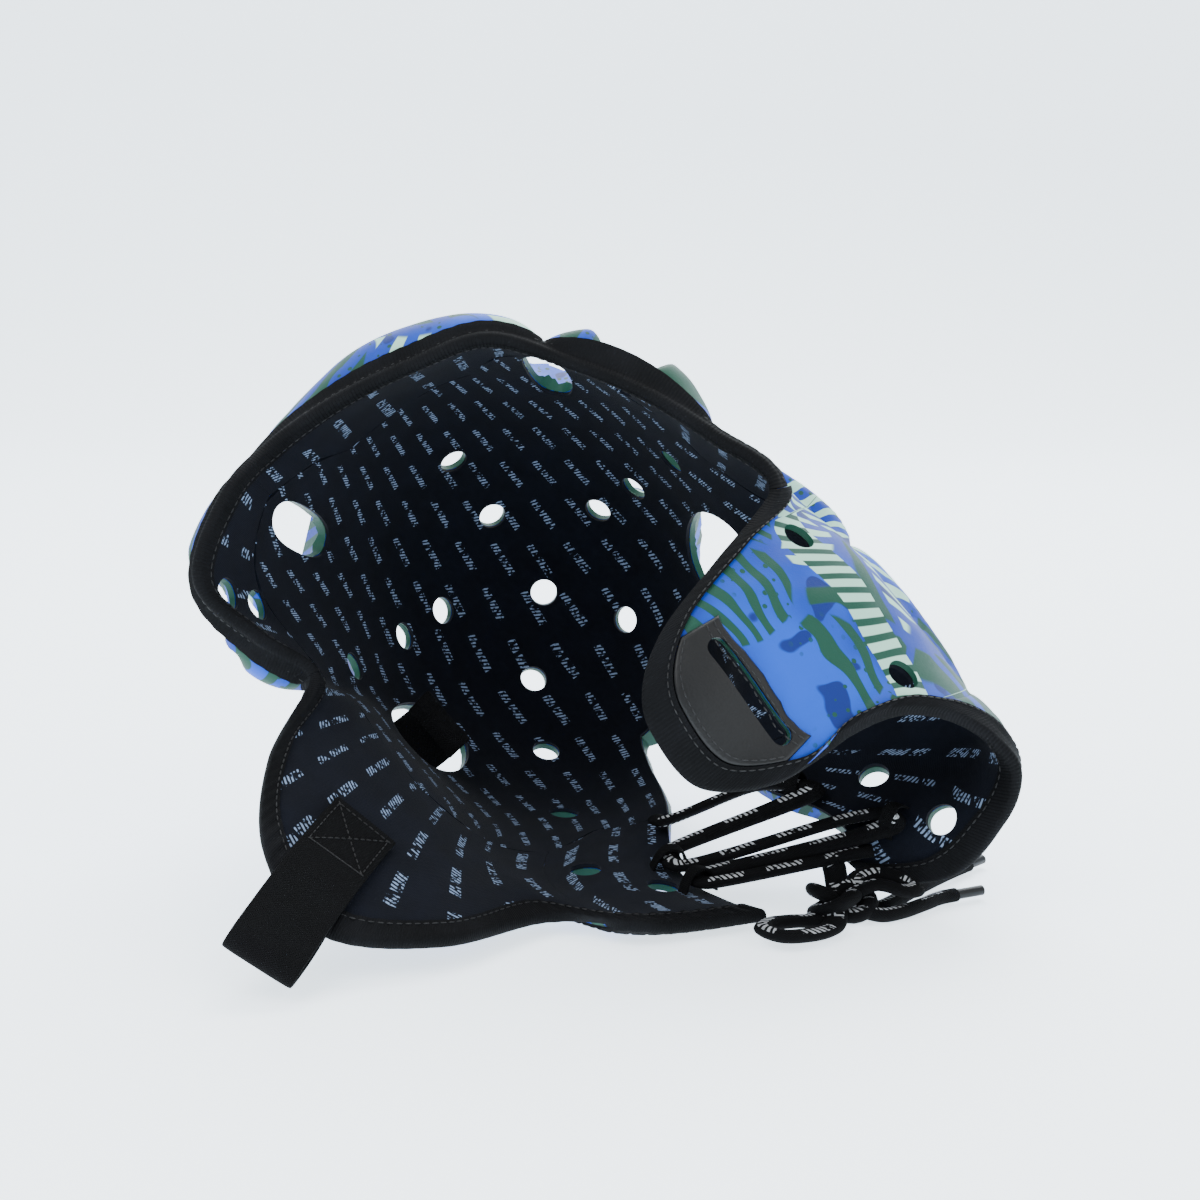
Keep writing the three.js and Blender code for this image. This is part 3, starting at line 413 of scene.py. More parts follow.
class PrintedCloth(Finish):
    """Printed polyester stretch cloth over foam: smooth and satin, blue with green and pale mint shapes."""

    # Cells about 38 mm across with bars 6.5 mm apart, dots 4 mm apart, a strip 15 mm wide with teeth
    cell_scale = 26.0
    bar_pitch = 0.0065
    dot_scale = 270.0
    strip_half = 7.5
    tooth_pitch = 3.1

    def __init__(self) -> None:
        """Builds the nodes."""
        super().__init__("printed stretch cloth", roughness=0.55, sheen=0.02, specular=0.22)
        green, mint = linear("#124334"), linear("#a0cdb9")
        ground = self.ground()
        swirl = self.add("ShaderNodeTexNoise", inputs={"Vector": self.place(), "Scale": 34.0, "Detail": 1.0})
        warp = self.vector("MULTIPLY_ADD", swirl.outputs[1], (0.014, 0.014, 0.014), self.place()).outputs[0]
        cells = self.cells(warp, self.cell_scale)
        chosen = self.add("ShaderNodeSeparateXYZ", inputs={0: cells.outputs["Color"]})
        way = self.vector("SUBTRACT", cells.outputs["Color"], (0.5, 0.5, 0.5))
        way = self.vector("NORMALIZE", way.outputs[0])
        bars = self.wave(self.vector("DOT_PRODUCT", warp, way.outputs[0]).outputs["Value"], self.bar_pitch)
        striped = self.both(self.step(bars, 0.05, 0.1), self.math("LESS_THAN", chosen.outputs[0], 0.62))
        filled = self.math("MAXIMUM", striped, self.math("GREATER_THAN", chosen.outputs[0], 0.8))
        edge = self.cells(warp, self.cell_scale, feature="DISTANCE_TO_EDGE").outputs[0]
        inside = self.step(edge, 0.05, 0.012)
        painted = self.mix(self.both(filled, inside), ground, green)
        painted = self.mix(self.dots(filled), painted, green)
        along, across = self.apart(self.add("ShaderNodeUVMap", {"uv_map": "Strip"}).outputs[0])
        in_strip = self.math("LESS_THAN", self.math("ABSOLUTE", across), self.strip_half)
        slant = self.math("PINGPONG", self.math("ADD", along, self.both(across, 0.55)), self.tooth_pitch)
        painted = self.mix(in_strip, painted, self.mix(self.step(slant, 1.35, 0.22), green, mint))
        rare = self.math("GREATER_THAN", chosen.outputs[1], 0.86)
        pale = self.both(self.both(rare, inside), self.step(bars, 0.1, 0.1))
        outside = self.math("SUBTRACT", 1.0, in_strip)
        self.link(self.mix(self.both(pale, outside), painted, mint), "Base Color")
        self.link(self.math("MULTIPLY_ADD", self.noise(900, 2.0), 0.18, 0.43), "Roughness")
        self.bump(self.noise(1800, 2.0), 0.18, 0.0004)

    def ground(self) -> bpy.types.NodeSocket:
        """The blue ground in three tones."""
        blue, deep, bright = linear("#063094"), linear("#04226c"), linear("#0c4cc0")
        light = self.mix(self.step(self.noise(24, 1.5), 0.52, 0.12), blue, bright)
        return self.mix(self.step(self.noise(60, 1.0), 0.62, 0.012), light, deep)

    def dots(self, filled: bpy.types.NodeSocket) -> bpy.types.NodeSocket:
        """Small dots in some of the places that no shape fills."""
        grid = self.add("ShaderNodeTexVoronoi", inputs={
            "Vector": self.place(), "Scale": self.dot_scale, "Randomness": 0.4,
        })
        dotted = self.math("LESS_THAN", grid.outputs[0], 0.26)
        plain = self.math("SUBTRACT", 1.0, filled)
        return self.both(dotted, self.both(plain, self.step(self.noise(20, 1.0), 0.5, 0.03)))


class LiningCloth(Finish):
    """Near-black brushed knit: matt and soft, with rows of short pale slanted dashes."""

    # Rows of marks 17 mm apart, 27 mm from one group of dashes to the next, each group moved by a third
    row_pitch = 17.0
    group_pitch = 27.0
    group_shift = 0.37
    dash_pitch = 0.85

    def __init__(self) -> None:
        """Builds the nodes."""
        super().__init__("dark lining knit", roughness=0.9, sheen=0.03, specular=0.15)
        base = self.mix(self.noise(70, 3.0), linear("#04060c"), linear("#0b101c"))
        u, v = self.apart(self.cloth_map())
        row = self.math("FLOOR", self.math("DIVIDE", u, self.row_pitch))
        in_row = self.math("SUBTRACT", u, self.both(row, self.row_pitch))
        shifted = self.math("ADD", v, self.both(row, self.group_pitch * self.group_shift))
        group = self.math("FLOOR", self.math("DIVIDE", shifted, self.group_pitch))
        in_group = self.math("SUBTRACT", shifted, self.both(group, self.group_pitch))
        tall = self.within(in_row, 8.0, 1.9)
        long = self.within(in_group, 12.0, 8.6)
        pause = self.math("GREATER_THAN", self.math("ABSOLUTE", self.math("SUBTRACT", in_group, 14.2)), 0.9)
        lean = self.math("ADD", in_group, self.both(in_row, 0.35))
        dashes = self.step(self.math("PINGPONG", lean, self.dash_pitch), 0.42, 0.12)
        marks = self.both(self.both(tall, long), self.both(dashes, pause))
        marks = self.both(marks, self.step(self.noise(620, 1.0), 0.46, 0.05))
        self.link(self.mix(self.both(marks, 0.8), base, linear("#8ba1c2")), "Base Color")
        nap = self.math("ADD", self.noise(1500, 3.0), self.both(self.weave(0.9), 0.35))
        self.bump(nap, 0.3, 0.0004)


class BindingTape(Finish):
    """Woven polyester binding: matt charcoal, with fine ribs across the tape."""

    def __init__(self, name: str, colour: str, rib: float) -> None:
        """Builds the nodes."""
        super().__init__(name, roughness=0.85, sheen=0.0, specular=0.12)
        worn = self.step(self.noise(45, 3.0), 0.55, 0.2)
        tint = self.mix(worn, linear(colour), linear("#0e0f12"))
        self.link(tint, "Base Color")
        u, _ = self.apart(self.cloth_map())
        grain = self.math("ADD", self.both(self.wave(u, rib), 0.5), self.noise(1600, 2.0))
        self.bump(grain, 0.35, 0.0005)


class PatchLeather(Finish):
    """Polyurethane leather-look: dark, soft sheen, fine pebble grain."""

    def __init__(self) -> None:
        """Builds the nodes."""
        super().__init__("leather-look patch", roughness=0.42, specular=0.3)
        self.link(self.mix(self.noise(80, 2.0), linear("#050607"), linear("#0b0c0e")), "Base Color")
        self.link(self.math("MULTIPLY_ADD", self.noise(300, 2.0), 0.16, 0.34), "Roughness")
        # Pebbles a little under 1 mm
        self.bump(self.cells(self.place(), 1100.0).outputs[0], 0.22, 0.0003)


class Webbing(Finish):
    """Woven polypropylene webbing: black, lengthways ribs with a slight shine."""

    # Threads in millimetres across and along the webbing
    warp_pitch = 1.1
    weft_pitch = 0.8

    def __init__(self) -> None:
        """Builds the nodes."""
        super().__init__("black webbing", roughness=0.85, sheen=0.0, specular=0.12)
        self.link(self.mix(self.noise(120, 2.0), linear("#030304"), linear("#08090b")), "Base Color")
        u, v = self.apart(self.cloth_map())
        self.bump(self.both(self.wave(v, self.warp_pitch), self.wave(u, self.weft_pitch)), 0.6, 0.0005)


class WovenLace(Finish):
    """Tubular woven polyester lace: black chevron weave with pale flecks."""

    # Groups 13 mm long every 21 mm and 3.6 mm tall, of strokes 1.9 mm apart
    group_pitch = 21.0
    group_half = 6.5
    group_tall = 1.8
    stroke_pitch = 0.95

    def __init__(self) -> None:
        """Builds the nodes."""
        super().__init__("woven lace", roughness=0.85, sheen=0.0, specular=0.12)
        u, v = self.apart(self.cloth_map())
        chevron = self.wave(self.math("ADD", u, self.math("PINGPONG", v, 2.1)), 0.9)
        group = self.math("FLOOR", self.math("DIVIDE", u, self.group_pitch))
        in_group = self.math("SUBTRACT", u, self.both(group, self.group_pitch))
        flecks = self.both(self.within(in_group, 10.0, self.group_half), self.within(v, 5.0, self.group_tall))
        lean = self.math("ADD", u, self.both(v, 0.35))
        flecks = self.both(flecks, self.step(self.math("PINGPONG", lean, self.stroke_pitch), 0.45, 0.1))
        flecks = self.both(flecks, self.step(self.noise(420, 1.0), 0.4, 0.05))
        dark = self.mix(self.noise(200, 2.0), linear("#050506"), linear("#0d0e11"))
        self.link(self.mix(self.both(flecks, 0.8), dark, linear("#dfe3e8")), "Base Color")
        self.bump(chevron, 0.7, 0.0005)


class SewingThread(Finish):
    """Twisted polyester thread: slightly shiny."""

    def __init__(self, name: str, colour: str) -> None:
        """Builds the nodes."""
        super().__init__(name, roughness=0.5, specular=0.4)
        self.link(self.mix(self.noise(900, 1.0), linear(colour), linear("#0d0e10")), "Base Color")
        self.bump(self.noise(2600, 1.0), 0.3, 0.0002)


class LaceTip(Finish):
    """Moulded acetate lace tip: black and glossy."""

    def __init__(self) -> None:
        """Builds the nodes."""
        super().__init__("lace tip", roughness=0.4, specular=0.25)
        self.link(self.mix(self.noise(150, 1.0), linear("#08090a"), linear("#15171a")), "Base Color")


class StudioFloor(Finish):
    """Pale painted studio sweep: matt."""

    def __init__(self) -> None:
        """Builds the nodes."""
        super().__init__("studio floor", roughness=0.7, specular=0.2)
        self.shader.inputs["Emission Color"].default_value = linear("#e4f1fb")
        self.shader.inputs["Emission Strength"].default_value = 1.9
        self.link(self.mix(self.noise(1.5, 1.0), linear("#f3f9fd"), linear("#f7fbfe")), "Base Color")


def make_mesh(
    name: str, points: np.ndarray, faces: np.ndarray, maps: dict[str, np.ndarray] | None = None,
) -> bpy.types.Object:
    """Makes a mesh object.

    Args:
        name: the piece's name.
        points: corners in metres.
        faces: corner numbers, four to a row.
        maps: map names to a pair of numbers for each corner.

    Returns:
        The linked object, with its faces turned outwards.
    """
    mesh = bpy.data.meshes.new(name)
    # A face of three corners names one of them twice, which is taken out here
    loops = [[int(i) for i in dict.fromkeys(face)] for face in faces.tolist()]
    mesh.from_pydata(points.tolist(), [], loops)
    corners = np.zeros(len(mesh.loops), dtype=np.int32)
    mesh.loops.foreach_get("vertex_index", corners)
    for key, values in (maps or {}).items():
        layer = mesh.uv_layers.new(name=key)
        layer.data.foreach_set("uv", values[corners].astype(np.float32).ravel())
    work = bmesh.new()
    work.from_mesh(mesh)
    bmesh.ops.remove_doubles(work, verts=work.verts, dist=2e-6)
    bmesh.ops.recalc_face_normals(work, faces=work.faces)
    work.to_mesh(mesh)
    work.free()
    piece = bpy.data.objects.new(name, mesh)
    bpy.context.collection.objects.link(piece)
    return piece


def smooth(piece: bpy.types.Object, angle: float = 50) -> None:
    """Shades a piece smooth with sharp edges over an angle in degrees."""
    piece.data.shade_smooth()
    piece.data.set_sharp_from_angle(angle=math.radians(angle))


def wall(
    name: str, inner: np.ndarray, outer: np.ndarray, maps: dict[str, np.ndarray],
    pole: bool = False, around: bool = False,
) -> bpy.types.Object:
    """A closed wall between two grids of points, columns by rows.

    Args:
        name: the piece's name.
        inner: inner points, columns by rows by 3.
        outer: outer points, the same size.
        maps: cloth maps for each grid point, used on both faces.
        pole: whether the first row closes in one point.
        around: whether the last column meets the first.

    Returns:
        The piece.
    """
    columns, rows = inner.shape[:2]
    number = np.arange(columns * rows).reshape(columns, rows)
    over = columns if around else columns - 1
    here, there = np.arange(over), (np.arange(over) + 1) % columns
    near, far = number[here], number[there]
    face = np.stack([near[:, :-1], far[:, :-1], far[:, 1:], near[:, 1:]], axis=-1).reshape(-1, 4)
    size = columns * rows
    faces = [face + size, face[:, ::-1]]

    def edge(line: np.ndarray, close: bool) -> None:
        """Closes the wall along one edge of the grid."""
        ends = np.append(line, line[:1]) if close else line
        faces.append(np.stack([ends[:-1], ends[1:], ends[1:] + size, ends[:-1] + size], axis=-1))

    edge(number[:, -1], around)
    if not pole:
        edge(number[:, 0], around)
    if not around:
        edge(number[0], False)
        edge(number[-1], False)
    points = np.concatenate([inner.reshape(-1, 3), outer.reshape(-1, 3)])
    doubled = {key: np.concatenate([value.reshape(-1, 2)] * 2) for key, value in maps.items()}
    return make_mesh(name, points, np.concatenate(faces), doubled)


def carve(piece: bpy.types.Object, cutters: list[bpy.types.Object]) -> None:
    """Cuts the cutters out of a piece and applies it."""
    for cutter in cutters:
        cut = piece.modifiers.new("cut", "BOOLEAN")
        cut.operation, cut.solver, cut.object = "DIFFERENCE", "MANIFOLD", cutter
    graph = bpy.context.evaluated_depsgraph_get()
    mesh = bpy.data.meshes.new_from_object(piece.evaluated_get(graph))
    piece.modifiers.clear()
    piece.data = mesh


def catmull(points: np.ndarray, count: int) -> np.ndarray:
    """Centripetal spline through points, read at even shares of its knots."""
    padded = np.vstack([2 * points[0] - points[1], points, 2 * points[-1] - points[-2]])
    steps = np.maximum(np.linalg.norm(np.diff(padded, axis=0), axis=1), 1e-6) ** 0.5
    out = []
    for share in np.linspace(0, 1, count):
        place = share * (len(points) - 1)
        i = min(int(place), len(points) - 2)
        w = place - i
        a, b, c, d = padded[i], padded[i + 1], padded[i + 2], padded[i + 3]
        before, span, after = steps[i], steps[i + 1], steps[i + 2]
        t1 = ((b - a) / before - (c - a) / (before + span) + (c - b) / span) * span
        t2 = ((c - b) / span - (d - b) / (span + after) + (d - c) / after) * span
        out.append(Ribs.hermite(b, c, t1, t2, np.array(w)))
    return np.array(out)


def gone_along(line: np.ndarray) -> np.ndarray:
    """Distance gone along a line at each of its points."""
    return np.concatenate([[0], np.cumsum(np.linalg.norm(np.diff(line, axis=0), axis=1))])


def sweep(
    name: str, rings: np.ndarray, cloth: np.ndarray, closed: bool = False, angle: float = 60,
) -> bpy.types.Object:
    """A closed skin over rings of points.

    Args:
        name: the piece's name.
        rings: stations by sides by 3, in metres.
        cloth: stations by sides by 2, the cloth map in millimetres.
        closed: whether the last ring meets the first; open ends are capped.
        angle: the shading's sharp angle in degrees.

    Returns:
        The piece.
    """
    count, sides = rings.shape[:2]
    number = np.arange(count * sides).reshape(count, sides)
    ends = count if closed else count - 1
    here, there = np.arange(ends), (np.arange(ends) + 1) % count
    turned = np.roll(number, -1, axis=1)
    faces = np.stack([number[here], turned[here], turned[there], number[there]], axis=-1).reshape(-1, 4)
    corners, values = rings.reshape(-1, 3), cloth.reshape(-1, 2)
    if not closed:
        corners = np.vstack([corners, rings[0].mean(0), rings[-1].mean(0)])
        values = np.vstack([values, cloth[0].mean(0), cloth[-1].mean(0)])
        for row, tip in ((0, len(corners) - 2), (count - 1, len(corners) - 1)):
            fan = np.stack([number[row], turned[row], np.full(sides, tip), np.full(sides, tip)], axis=-1)
            faces = np.vstack([faces, fan])
    piece = make_mesh(name, corners, faces, {"Cloth": values})
    smooth(piece, angle)
    return piece


def tube(
    name: str, line: np.ndarray, radius: float, flat: float = 1.0, closed: bool = False,
) -> bpy.types.Object:
    """A round or flattened tube along a line, with a cloth map of length and girth.

    Args:
        name: the piece's name.
        line: centre points in metres.
        radius: the tube's radius in metres.
        flat: height as a share of the width.
        closed: whether the line meets its own start.

    Returns:
        The piece.
    """
    # Sides of the tube, and how far it turns towards level at each point
    sides, follow = 16, 0.08
    steps = np.roll(line, -1, 0) - np.roll(line, 1, 0) if closed else np.gradient(line, axis=0)
    tangent = unit(steps)
    upright = unit(np.array([0.05, 0.03, 1.0]))
    normal = np.zeros_like(line)
    normal[0] = unit(upright - tangent[0] * (upright @ tangent[0]))
    for i in range(1, len(line)):
        kept = normal[i - 1] - tangent[i] * (normal[i - 1] @ tangent[i])
        level = upright - tangent[i] * (upright @ tangent[i])
        normal[i] = unit(unit(kept) * (1 - follow) + follow * level)
    side = np.cross(tangent, normal)
    angle = np.linspace(0, 2 * np.pi, sides, endpoint=False)
    wide = np.cos(angle)[None, :, None] * side[:, None]
    ring = wide + flat * np.sin(angle)[None, :, None] * normal[:, None]
    rings = line[:, None] + radius * ring
    along = gone_along(line) / MM
    girth = (np.pi - np.abs(angle - np.pi)) * radius / MM
    cloth = np.stack(np.broadcast_arrays(along[:, None], girth[None, :]), axis=-1)
    return sweep(name, rings, cloth, closed)


def ribbon(
    name: str, line: np.ndarray, across: np.ndarray, width: float, thick: float, floor: float = 0.0,
) -> bpy.types.Object:
    """A flat tape with soft edges along a line.

    Args:
        name: the piece's name.
        line: centre points in metres.
        across: width directions.
        width: the tape's width in metres.
        thick: its thickness in metres.
        floor: the lowest that a point may lie, in metres.

    Returns:
        The piece.
    """
    tangent = unit(np.gradient(line, axis=0))
    wide = unit(across - tangent * np.sum(across * tangent, axis=1, keepdims=True))
    up = np.cross(tangent, wide)
    angle = np.linspace(0, 2 * np.pi, 28, endpoint=False)
    out = np.sign(np.cos(angle)) * np.abs(np.cos(angle)) ** 0.55
    high = np.sign(np.sin(angle)) * np.abs(np.sin(angle)) ** 0.3
    sideways = wide[:, None] * (out * width / 2)[None, :, None]
    rings = line[:, None] + sideways + up[:, None] * (high * thick / 2)[None, :, None]
    rings[..., 2] = np.maximum(rings[..., 2], floor)
    along = gone_along(line) / MM
    cloth = np.stack(np.broadcast_arrays(along[:, None], (out * width / 2 / MM)[None, :]), axis=-1)
    return sweep(name, rings, cloth, angle=50)


def ride(
    piece: bpy.types.Object, finish: Finish, nodes: tuple[str, ...] = (),
) -> bpy.types.Object:
    """Gives a piece its finish, body and the nodes that it stands for."""
    piece.data.materials.clear()
    piece.data.materials.append(finish.material)
    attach(piece, ROOT)
    if nodes:
        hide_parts(*nodes)
    LOG.info("%s: %d faces", piece.name, len(piece.data.polygons))
    return piece


def wobble(points: np.ndarray, wave: float, seed: int) -> np.ndarray:
    """Smooth unevenness from -1 to 1 over points in metres, with waves of a length in millimetres."""
    rng = np.random.default_rng(seed)
    total = np.zeros(points.shape[:-1])
    count = 6
    for _ in range(count):
        way = unit(rng.normal(size=3)) * 2 * np.pi / (wave * MM * rng.uniform(0.7, 1.4))
        total += np.sin(points @ way + rng.uniform(0, 2 * np.pi))
    return total / count


def even_turns(ribs: Ribs, first: float, last: float, level: float, step: float) -> np.ndarray:
    """Turns from first to last, an even step in millimetres apart along a level."""
    fine = np.linspace(first, last, 900)
    line = ribs.hollow(fine, np.full_like(fine, level))
    seam = ribs.hollow(fine, seam_at(fine))
    reach = np.linalg.norm(np.diff(line, axis=0), axis=1)
    reach = reach + 0.35 * np.linalg.norm(np.diff(seam, axis=0), axis=1)
    gone = np.concatenate([[0], np.cumsum(reach)])
    return np.interp(np.linspace(0, gone[-1], max(int(gone[-1] / step), 4)), gone, fine)


def length_along(points: np.ndarray, axis: int) -> np.ndarray:
    """Distance in millimetres gone along one axis of a grid of points in metres."""
    steps = np.linalg.norm(np.diff(points, axis=axis), axis=-1)
    start = np.zeros_like(np.take(steps, [0], axis=axis))
    return np.concatenate([start, np.cumsum(steps, axis=axis)], axis=axis) / MM


class Plugs:
    """Cutters for the openings, in the same places as in the solids."""

    # Depths of the straight cutters, then the slot's size and its ends: degrees and levels
    vent_depth = 34.2
    slot_depth = 56.0
    slot_width = 7.0
    slot_length = 41.0
    slot_turns = (116.5, 126.5)
    slot_levels = (2.79, 2.8)
    # Heights under and over the hollow's face that the split's wedge reaches
    split_heights = (-12.0, 24.4)

    def __init__(self, ribs: Ribs) -> None:
        """Keeps the surface that the openings are placed on."""
        self.ribs = ribs
        self.made: list[bpy.types.Object] = []

    def prism(
        self, centre: np.ndarray, basis: np.ndarray, outline: np.ndarray, depth: float,
    ) -> bpy.types.Object:
        """A straight prism: outline in millimetres on the basis' first and third axes, through its second."""
        ends = []
        for side in (-0.5, 0.5):
            flat = outline[:, :1] * basis[0] + outline[:, 1:] * basis[2] + centre + basis[1] * depth * side
            ends.append((flat - np.array(self.ribs.shape.middle)) * MM)
        cutter = sweep("plug", np.array(ends), np.zeros((2, len(outline), 2)))
        self.made.append(cutter)
        return cutter

    def basis(self, turn: float, level: float) -> tuple[np.ndarray, np.ndarray]:
        """The place of an opening and its axes: round, out and down."""
        out, down = self.ribs.directions(np.array([turn]), np.array([level]))
        around = unit(np.cross(out[0], down[0]))
        return self.ribs.hollow(turn, level), np.array([around, out[0], unit(np.cross(around, out[0]))])

    def oval(
        self, turn: float, level: float, across: float, along: float, power: float = 1.0,
    ) -> bpy.types.Object:
        """An oval opening, across and along in millimetres."""
        centre, basis = self.basis(turn, level)
        angle = np.linspace(0, 2 * np.pi, 48, endpoint=False)
        x = across / 2 * np.sign(np.cos(angle)) * np.abs(np.cos(angle)) ** power
        y = along / 2 * np.sign(np.sin(angle)) * np.abs(np.sin(angle)) ** power
        return self.prism(centre, basis, np.stack([x, y], axis=-1), self.vent_depth)

    def slot(self) -> bpy.types.Object:
        """The strap slot in the left flap's tip."""
        width, length = self.slot_width, self.slot_length
        turns, levels = np.array(self.slot_turns), np.array(self.slot_levels)
        ends = self.ribs.hollow(turns, levels)
        _, basis = self.basis(turns.mean(), levels.mean())
        out = basis[1]
        along = ends[1] - ends[0]
        along = unit(along - out * (along @ out))
        straight = (length - width) / 2
        angle = np.linspace(-np.pi / 2, np.pi / 2, 14)
        half = np.stack([np.sin(angle) * width / 2, np.cos(angle) * width / 2 + straight], axis=-1)
        across = np.array([np.cross(out, along), out, along])
        return self.prism(ends.mean(0), across, np.vstack([half, -half]), self.slot_depth)

    def split(self) -> bpy.types.Object:
        """The wedge that opens the crown at the back."""
        levels = np.linspace(SPLIT[0, 0], SPLIT[-1, 0], 28)
        share = np.linspace(0, 1, 9)
        first, last = (np.interp(levels, SPLIT[:, 0], SPLIT[:, k]) for k in (1, 2))
        turns = first[None] + (last - first)[None] * share[:, None]
        turns = np.where(turns > 180, turns - 360, turns)
        grid = np.broadcast_to(levels, turns.shape)
        faces = [self.ribs.above(turns, grid, np.full(grid.shape, height)) for height in self.split_heights]
        empty = {"Cloth": np.zeros((*turns.shape, 2))}
        cutter = wall("split plug", faces[0], faces[1], empty)
        self.made.append(cutter)
        return cutter

    def clear(self) -> None:
        """Removes the cutters."""
        for cutter in self.made:
            bpy.data.objects.remove(cutter)
        self.made.clear()


@dataclass
class Openings:
    """Places of the vents and holes: degrees round the cap and level."""

    ribs: Ribs
    vent: float = 11.4
    temple_power: float = 0.8
    crown: tuple = (
        (0, 0.92), (0, 0.62), (0, 0.24), (52, 0.62), (65, 0.83), (75.5, 1.33),
        (100, 0.28), (132, 0.56), (146, 0.94),
    )
    cheek: tuple = ((61.5, 2.6), (62.5, 2.12))
    flap: tuple = ((108.5, 2.44), (136, 2.59))
    nape_left: tuple = ((165.5, 1.68), (171, 2.36))
    nape_right: tuple = ((-157, 1.73), (-172, 2.0))

    def pressing(self, spots: list, holes: tuple) -> list[tuple[float, float, float, float]]:
        """Vents and wide holes, left and right, as turn, level and half sizes in millimetres."""
        half = self.vent / 2
        wide = [(s * t, v, across / 2, along / 2) for t, v, across, along in holes for s in (1, -1)]
        return [(t, v, half, half) for t, v in spots] + wide

    def pressed_crown(self) -> list[tuple[float, float, float, float]]:
        """Openings that press the crown's pads."""
        spots = [(s * t, v) for t, v in self.crown for s in (1, -1)]
        return self.pressing(spots, (EAR_HOLE, TEMPLE_VENT))

    def pressed_panels(self) -> list[tuple[float, float, float, float]]:
        """Openings that press the lower pads."""
        right_cheek = [(-t, v) for t, v in self.cheek]
        spots = [*self.cheek, *right_cheek, *self.flap, *self.nape_left, *self.nape_right]
        return self.pressing(spots, (TEMPLE_VENT,))

    def vents(self, plugs: Plugs, spots: tuple, signs: tuple[int, ...] = (1,)) -> list[bpy.types.Object]:
        """Round vents at spots, on the sides that the signs give, and once on the middle line."""
        size = self.vent
        return [plugs.oval(s * t, v, size, size) for t, v in spots for s in signs if t or s == signs[0]]

    def for_crown(self, plugs: Plugs) -> list[bpy.types.Object]:
        """Everything that is cut from the crown."""
        made = self.vents(plugs, self.crown, (1, -1))
        for sign in (1, -1):
            for (turn, *size), power in ((EAR_HOLE, 1.0), (TEMPLE_VENT, self.temple_power)):
                made.append(plugs.oval(sign * turn, *size, power))
        return [*made, plugs.split()]

    def for_panel(self, plugs: Plugs, panel: Panel) -> list[bpy.types.Object]:
        """Everything that is cut from one lower panel."""
        if panel is Panel.CHEEK_LEFT:
            return [*self.vents(plugs, self.cheek), *self.vents(plugs, self.flap), plugs.slot()]
        if panel is Panel.CHEEK_RIGHT:
            return self.vents(plugs, self.cheek, (-1,))
        spots = {Panel.NAPE_LEFT: self.nape_left, Panel.NAPE_RIGHT: self.nape_right}.get(panel, ())
        return self.vents(plugs, spots)


def crown_share(turn: np.ndarray, level: np.ndarray) -> np.ndarray:
    """Where a place lies between its two crown grooves, 0 to 1."""
    turn, level = np.broadcast_arrays(np.abs(turn), level)
    lines = GROOVES[:, 0] + GROOVES[:, 1] * np.minimum(level[..., None], GROOVES[:, 2])
    at = np.clip(np.sum(turn[..., None] >= lines, axis=-1), 1, len(GROOVES) - 1)
    low = np.take_along_axis(lines, (at - 1)[..., None], -1)[..., 0]
    high = np.take_along_axis(lines, at[..., None], -1)[..., 0]
    return np.clip((turn - low) / (high - low), 0, 1)


def crown_wall(turn: np.ndarray, level: np.ndarray, seam: np.ndarray) -> np.ndarray:
    """Wall thickness of the crown, pads included, with the cloth gathered a little at the grooves."""
    turn, level, seam = np.broadcast_arrays(turn, level, seam)
    last = CROWN_BANDS[-1] + (seam - CROWN_BANDS[-1]) * LAST_BAND
    edges = np.stack([*(np.full(level.shape, b) for b in CROWN_BANDS), last, seam], axis=-1)
    band = np.clip(np.sum(level[..., None] > edges, axis=-1) - 1, 0, len(CROWN_BANDS))
    low = np.take_along_axis(edges, band[..., None], -1)[..., 0]
    high = np.take_along_axis(edges, band[..., None] + 1, -1)[..., 0]
    share = np.clip((level - low) / (high - low), 0, 1)
    across = crown_share(turn, level)
    lift = np.where(band == 0, pillow(0.5 + share / 2), pillow(share) * pillow(across))
    # Gathers 0.5 and 0.4 mm high, beside the grooves that run down and round
    reach = 0.16
    near = np.minimum(across, 1 - across) / reach
    ripple = np.sin(level * 92 + np.abs(turn) * 0.09)
    gather = 0.5 * np.exp(-(near - 0.8) ** 2 * 3) * ripple * pillow(share)
    close = np.minimum(share, 1 - share) / reach
    gather += 0.4 * np.exp(-(close - 0.8) ** 2 * 3) * np.sin(np.radians(turn) * 60) * pillow(across)
    return LINING + GAP + SHELL + CROWN_PAD * lift + np.where(band == 0, 0, gather)


def pressed(
    ribs: Ribs, turn: np.ndarray, level: np.ndarray, spots: list, reach: float = 10.0,
) -> np.ndarray:
    """Share of the pad's height that is left round the openings.

    Args:
        ribs: the surface.
        turn: turns of the points.
        level: their levels.
        spots: turn, level, half width and half length of each opening, in millimetres.
        reach: how far from an opening's edge the pad is full again.

    Returns:
        From 0 at an opening's edge to 1 away from it.
    """
    points = ribs.hollow(turn, level)
    left = np.ones(points.shape[:-1])
    for t, v, across, along in spots:
        centre = ribs.hollow(t, v)
        out, down = ribs.directions(np.array([t]), np.array([v]))
        off = points - centre
        x, y = off @ np.cross(out[0], down[0]), off @ down[0]
        gone = np.sqrt(x * x + y * y + (off @ out[0]) ** 2)
        ring = np.maximum(np.hypot(x / across, y / along), 1e-6)
        edge = gone / ring
        away = np.clip((gone - edge) / reach, 0, 1)
        left = np.minimum(left, away * away * (3 - 2 * away))
    return left


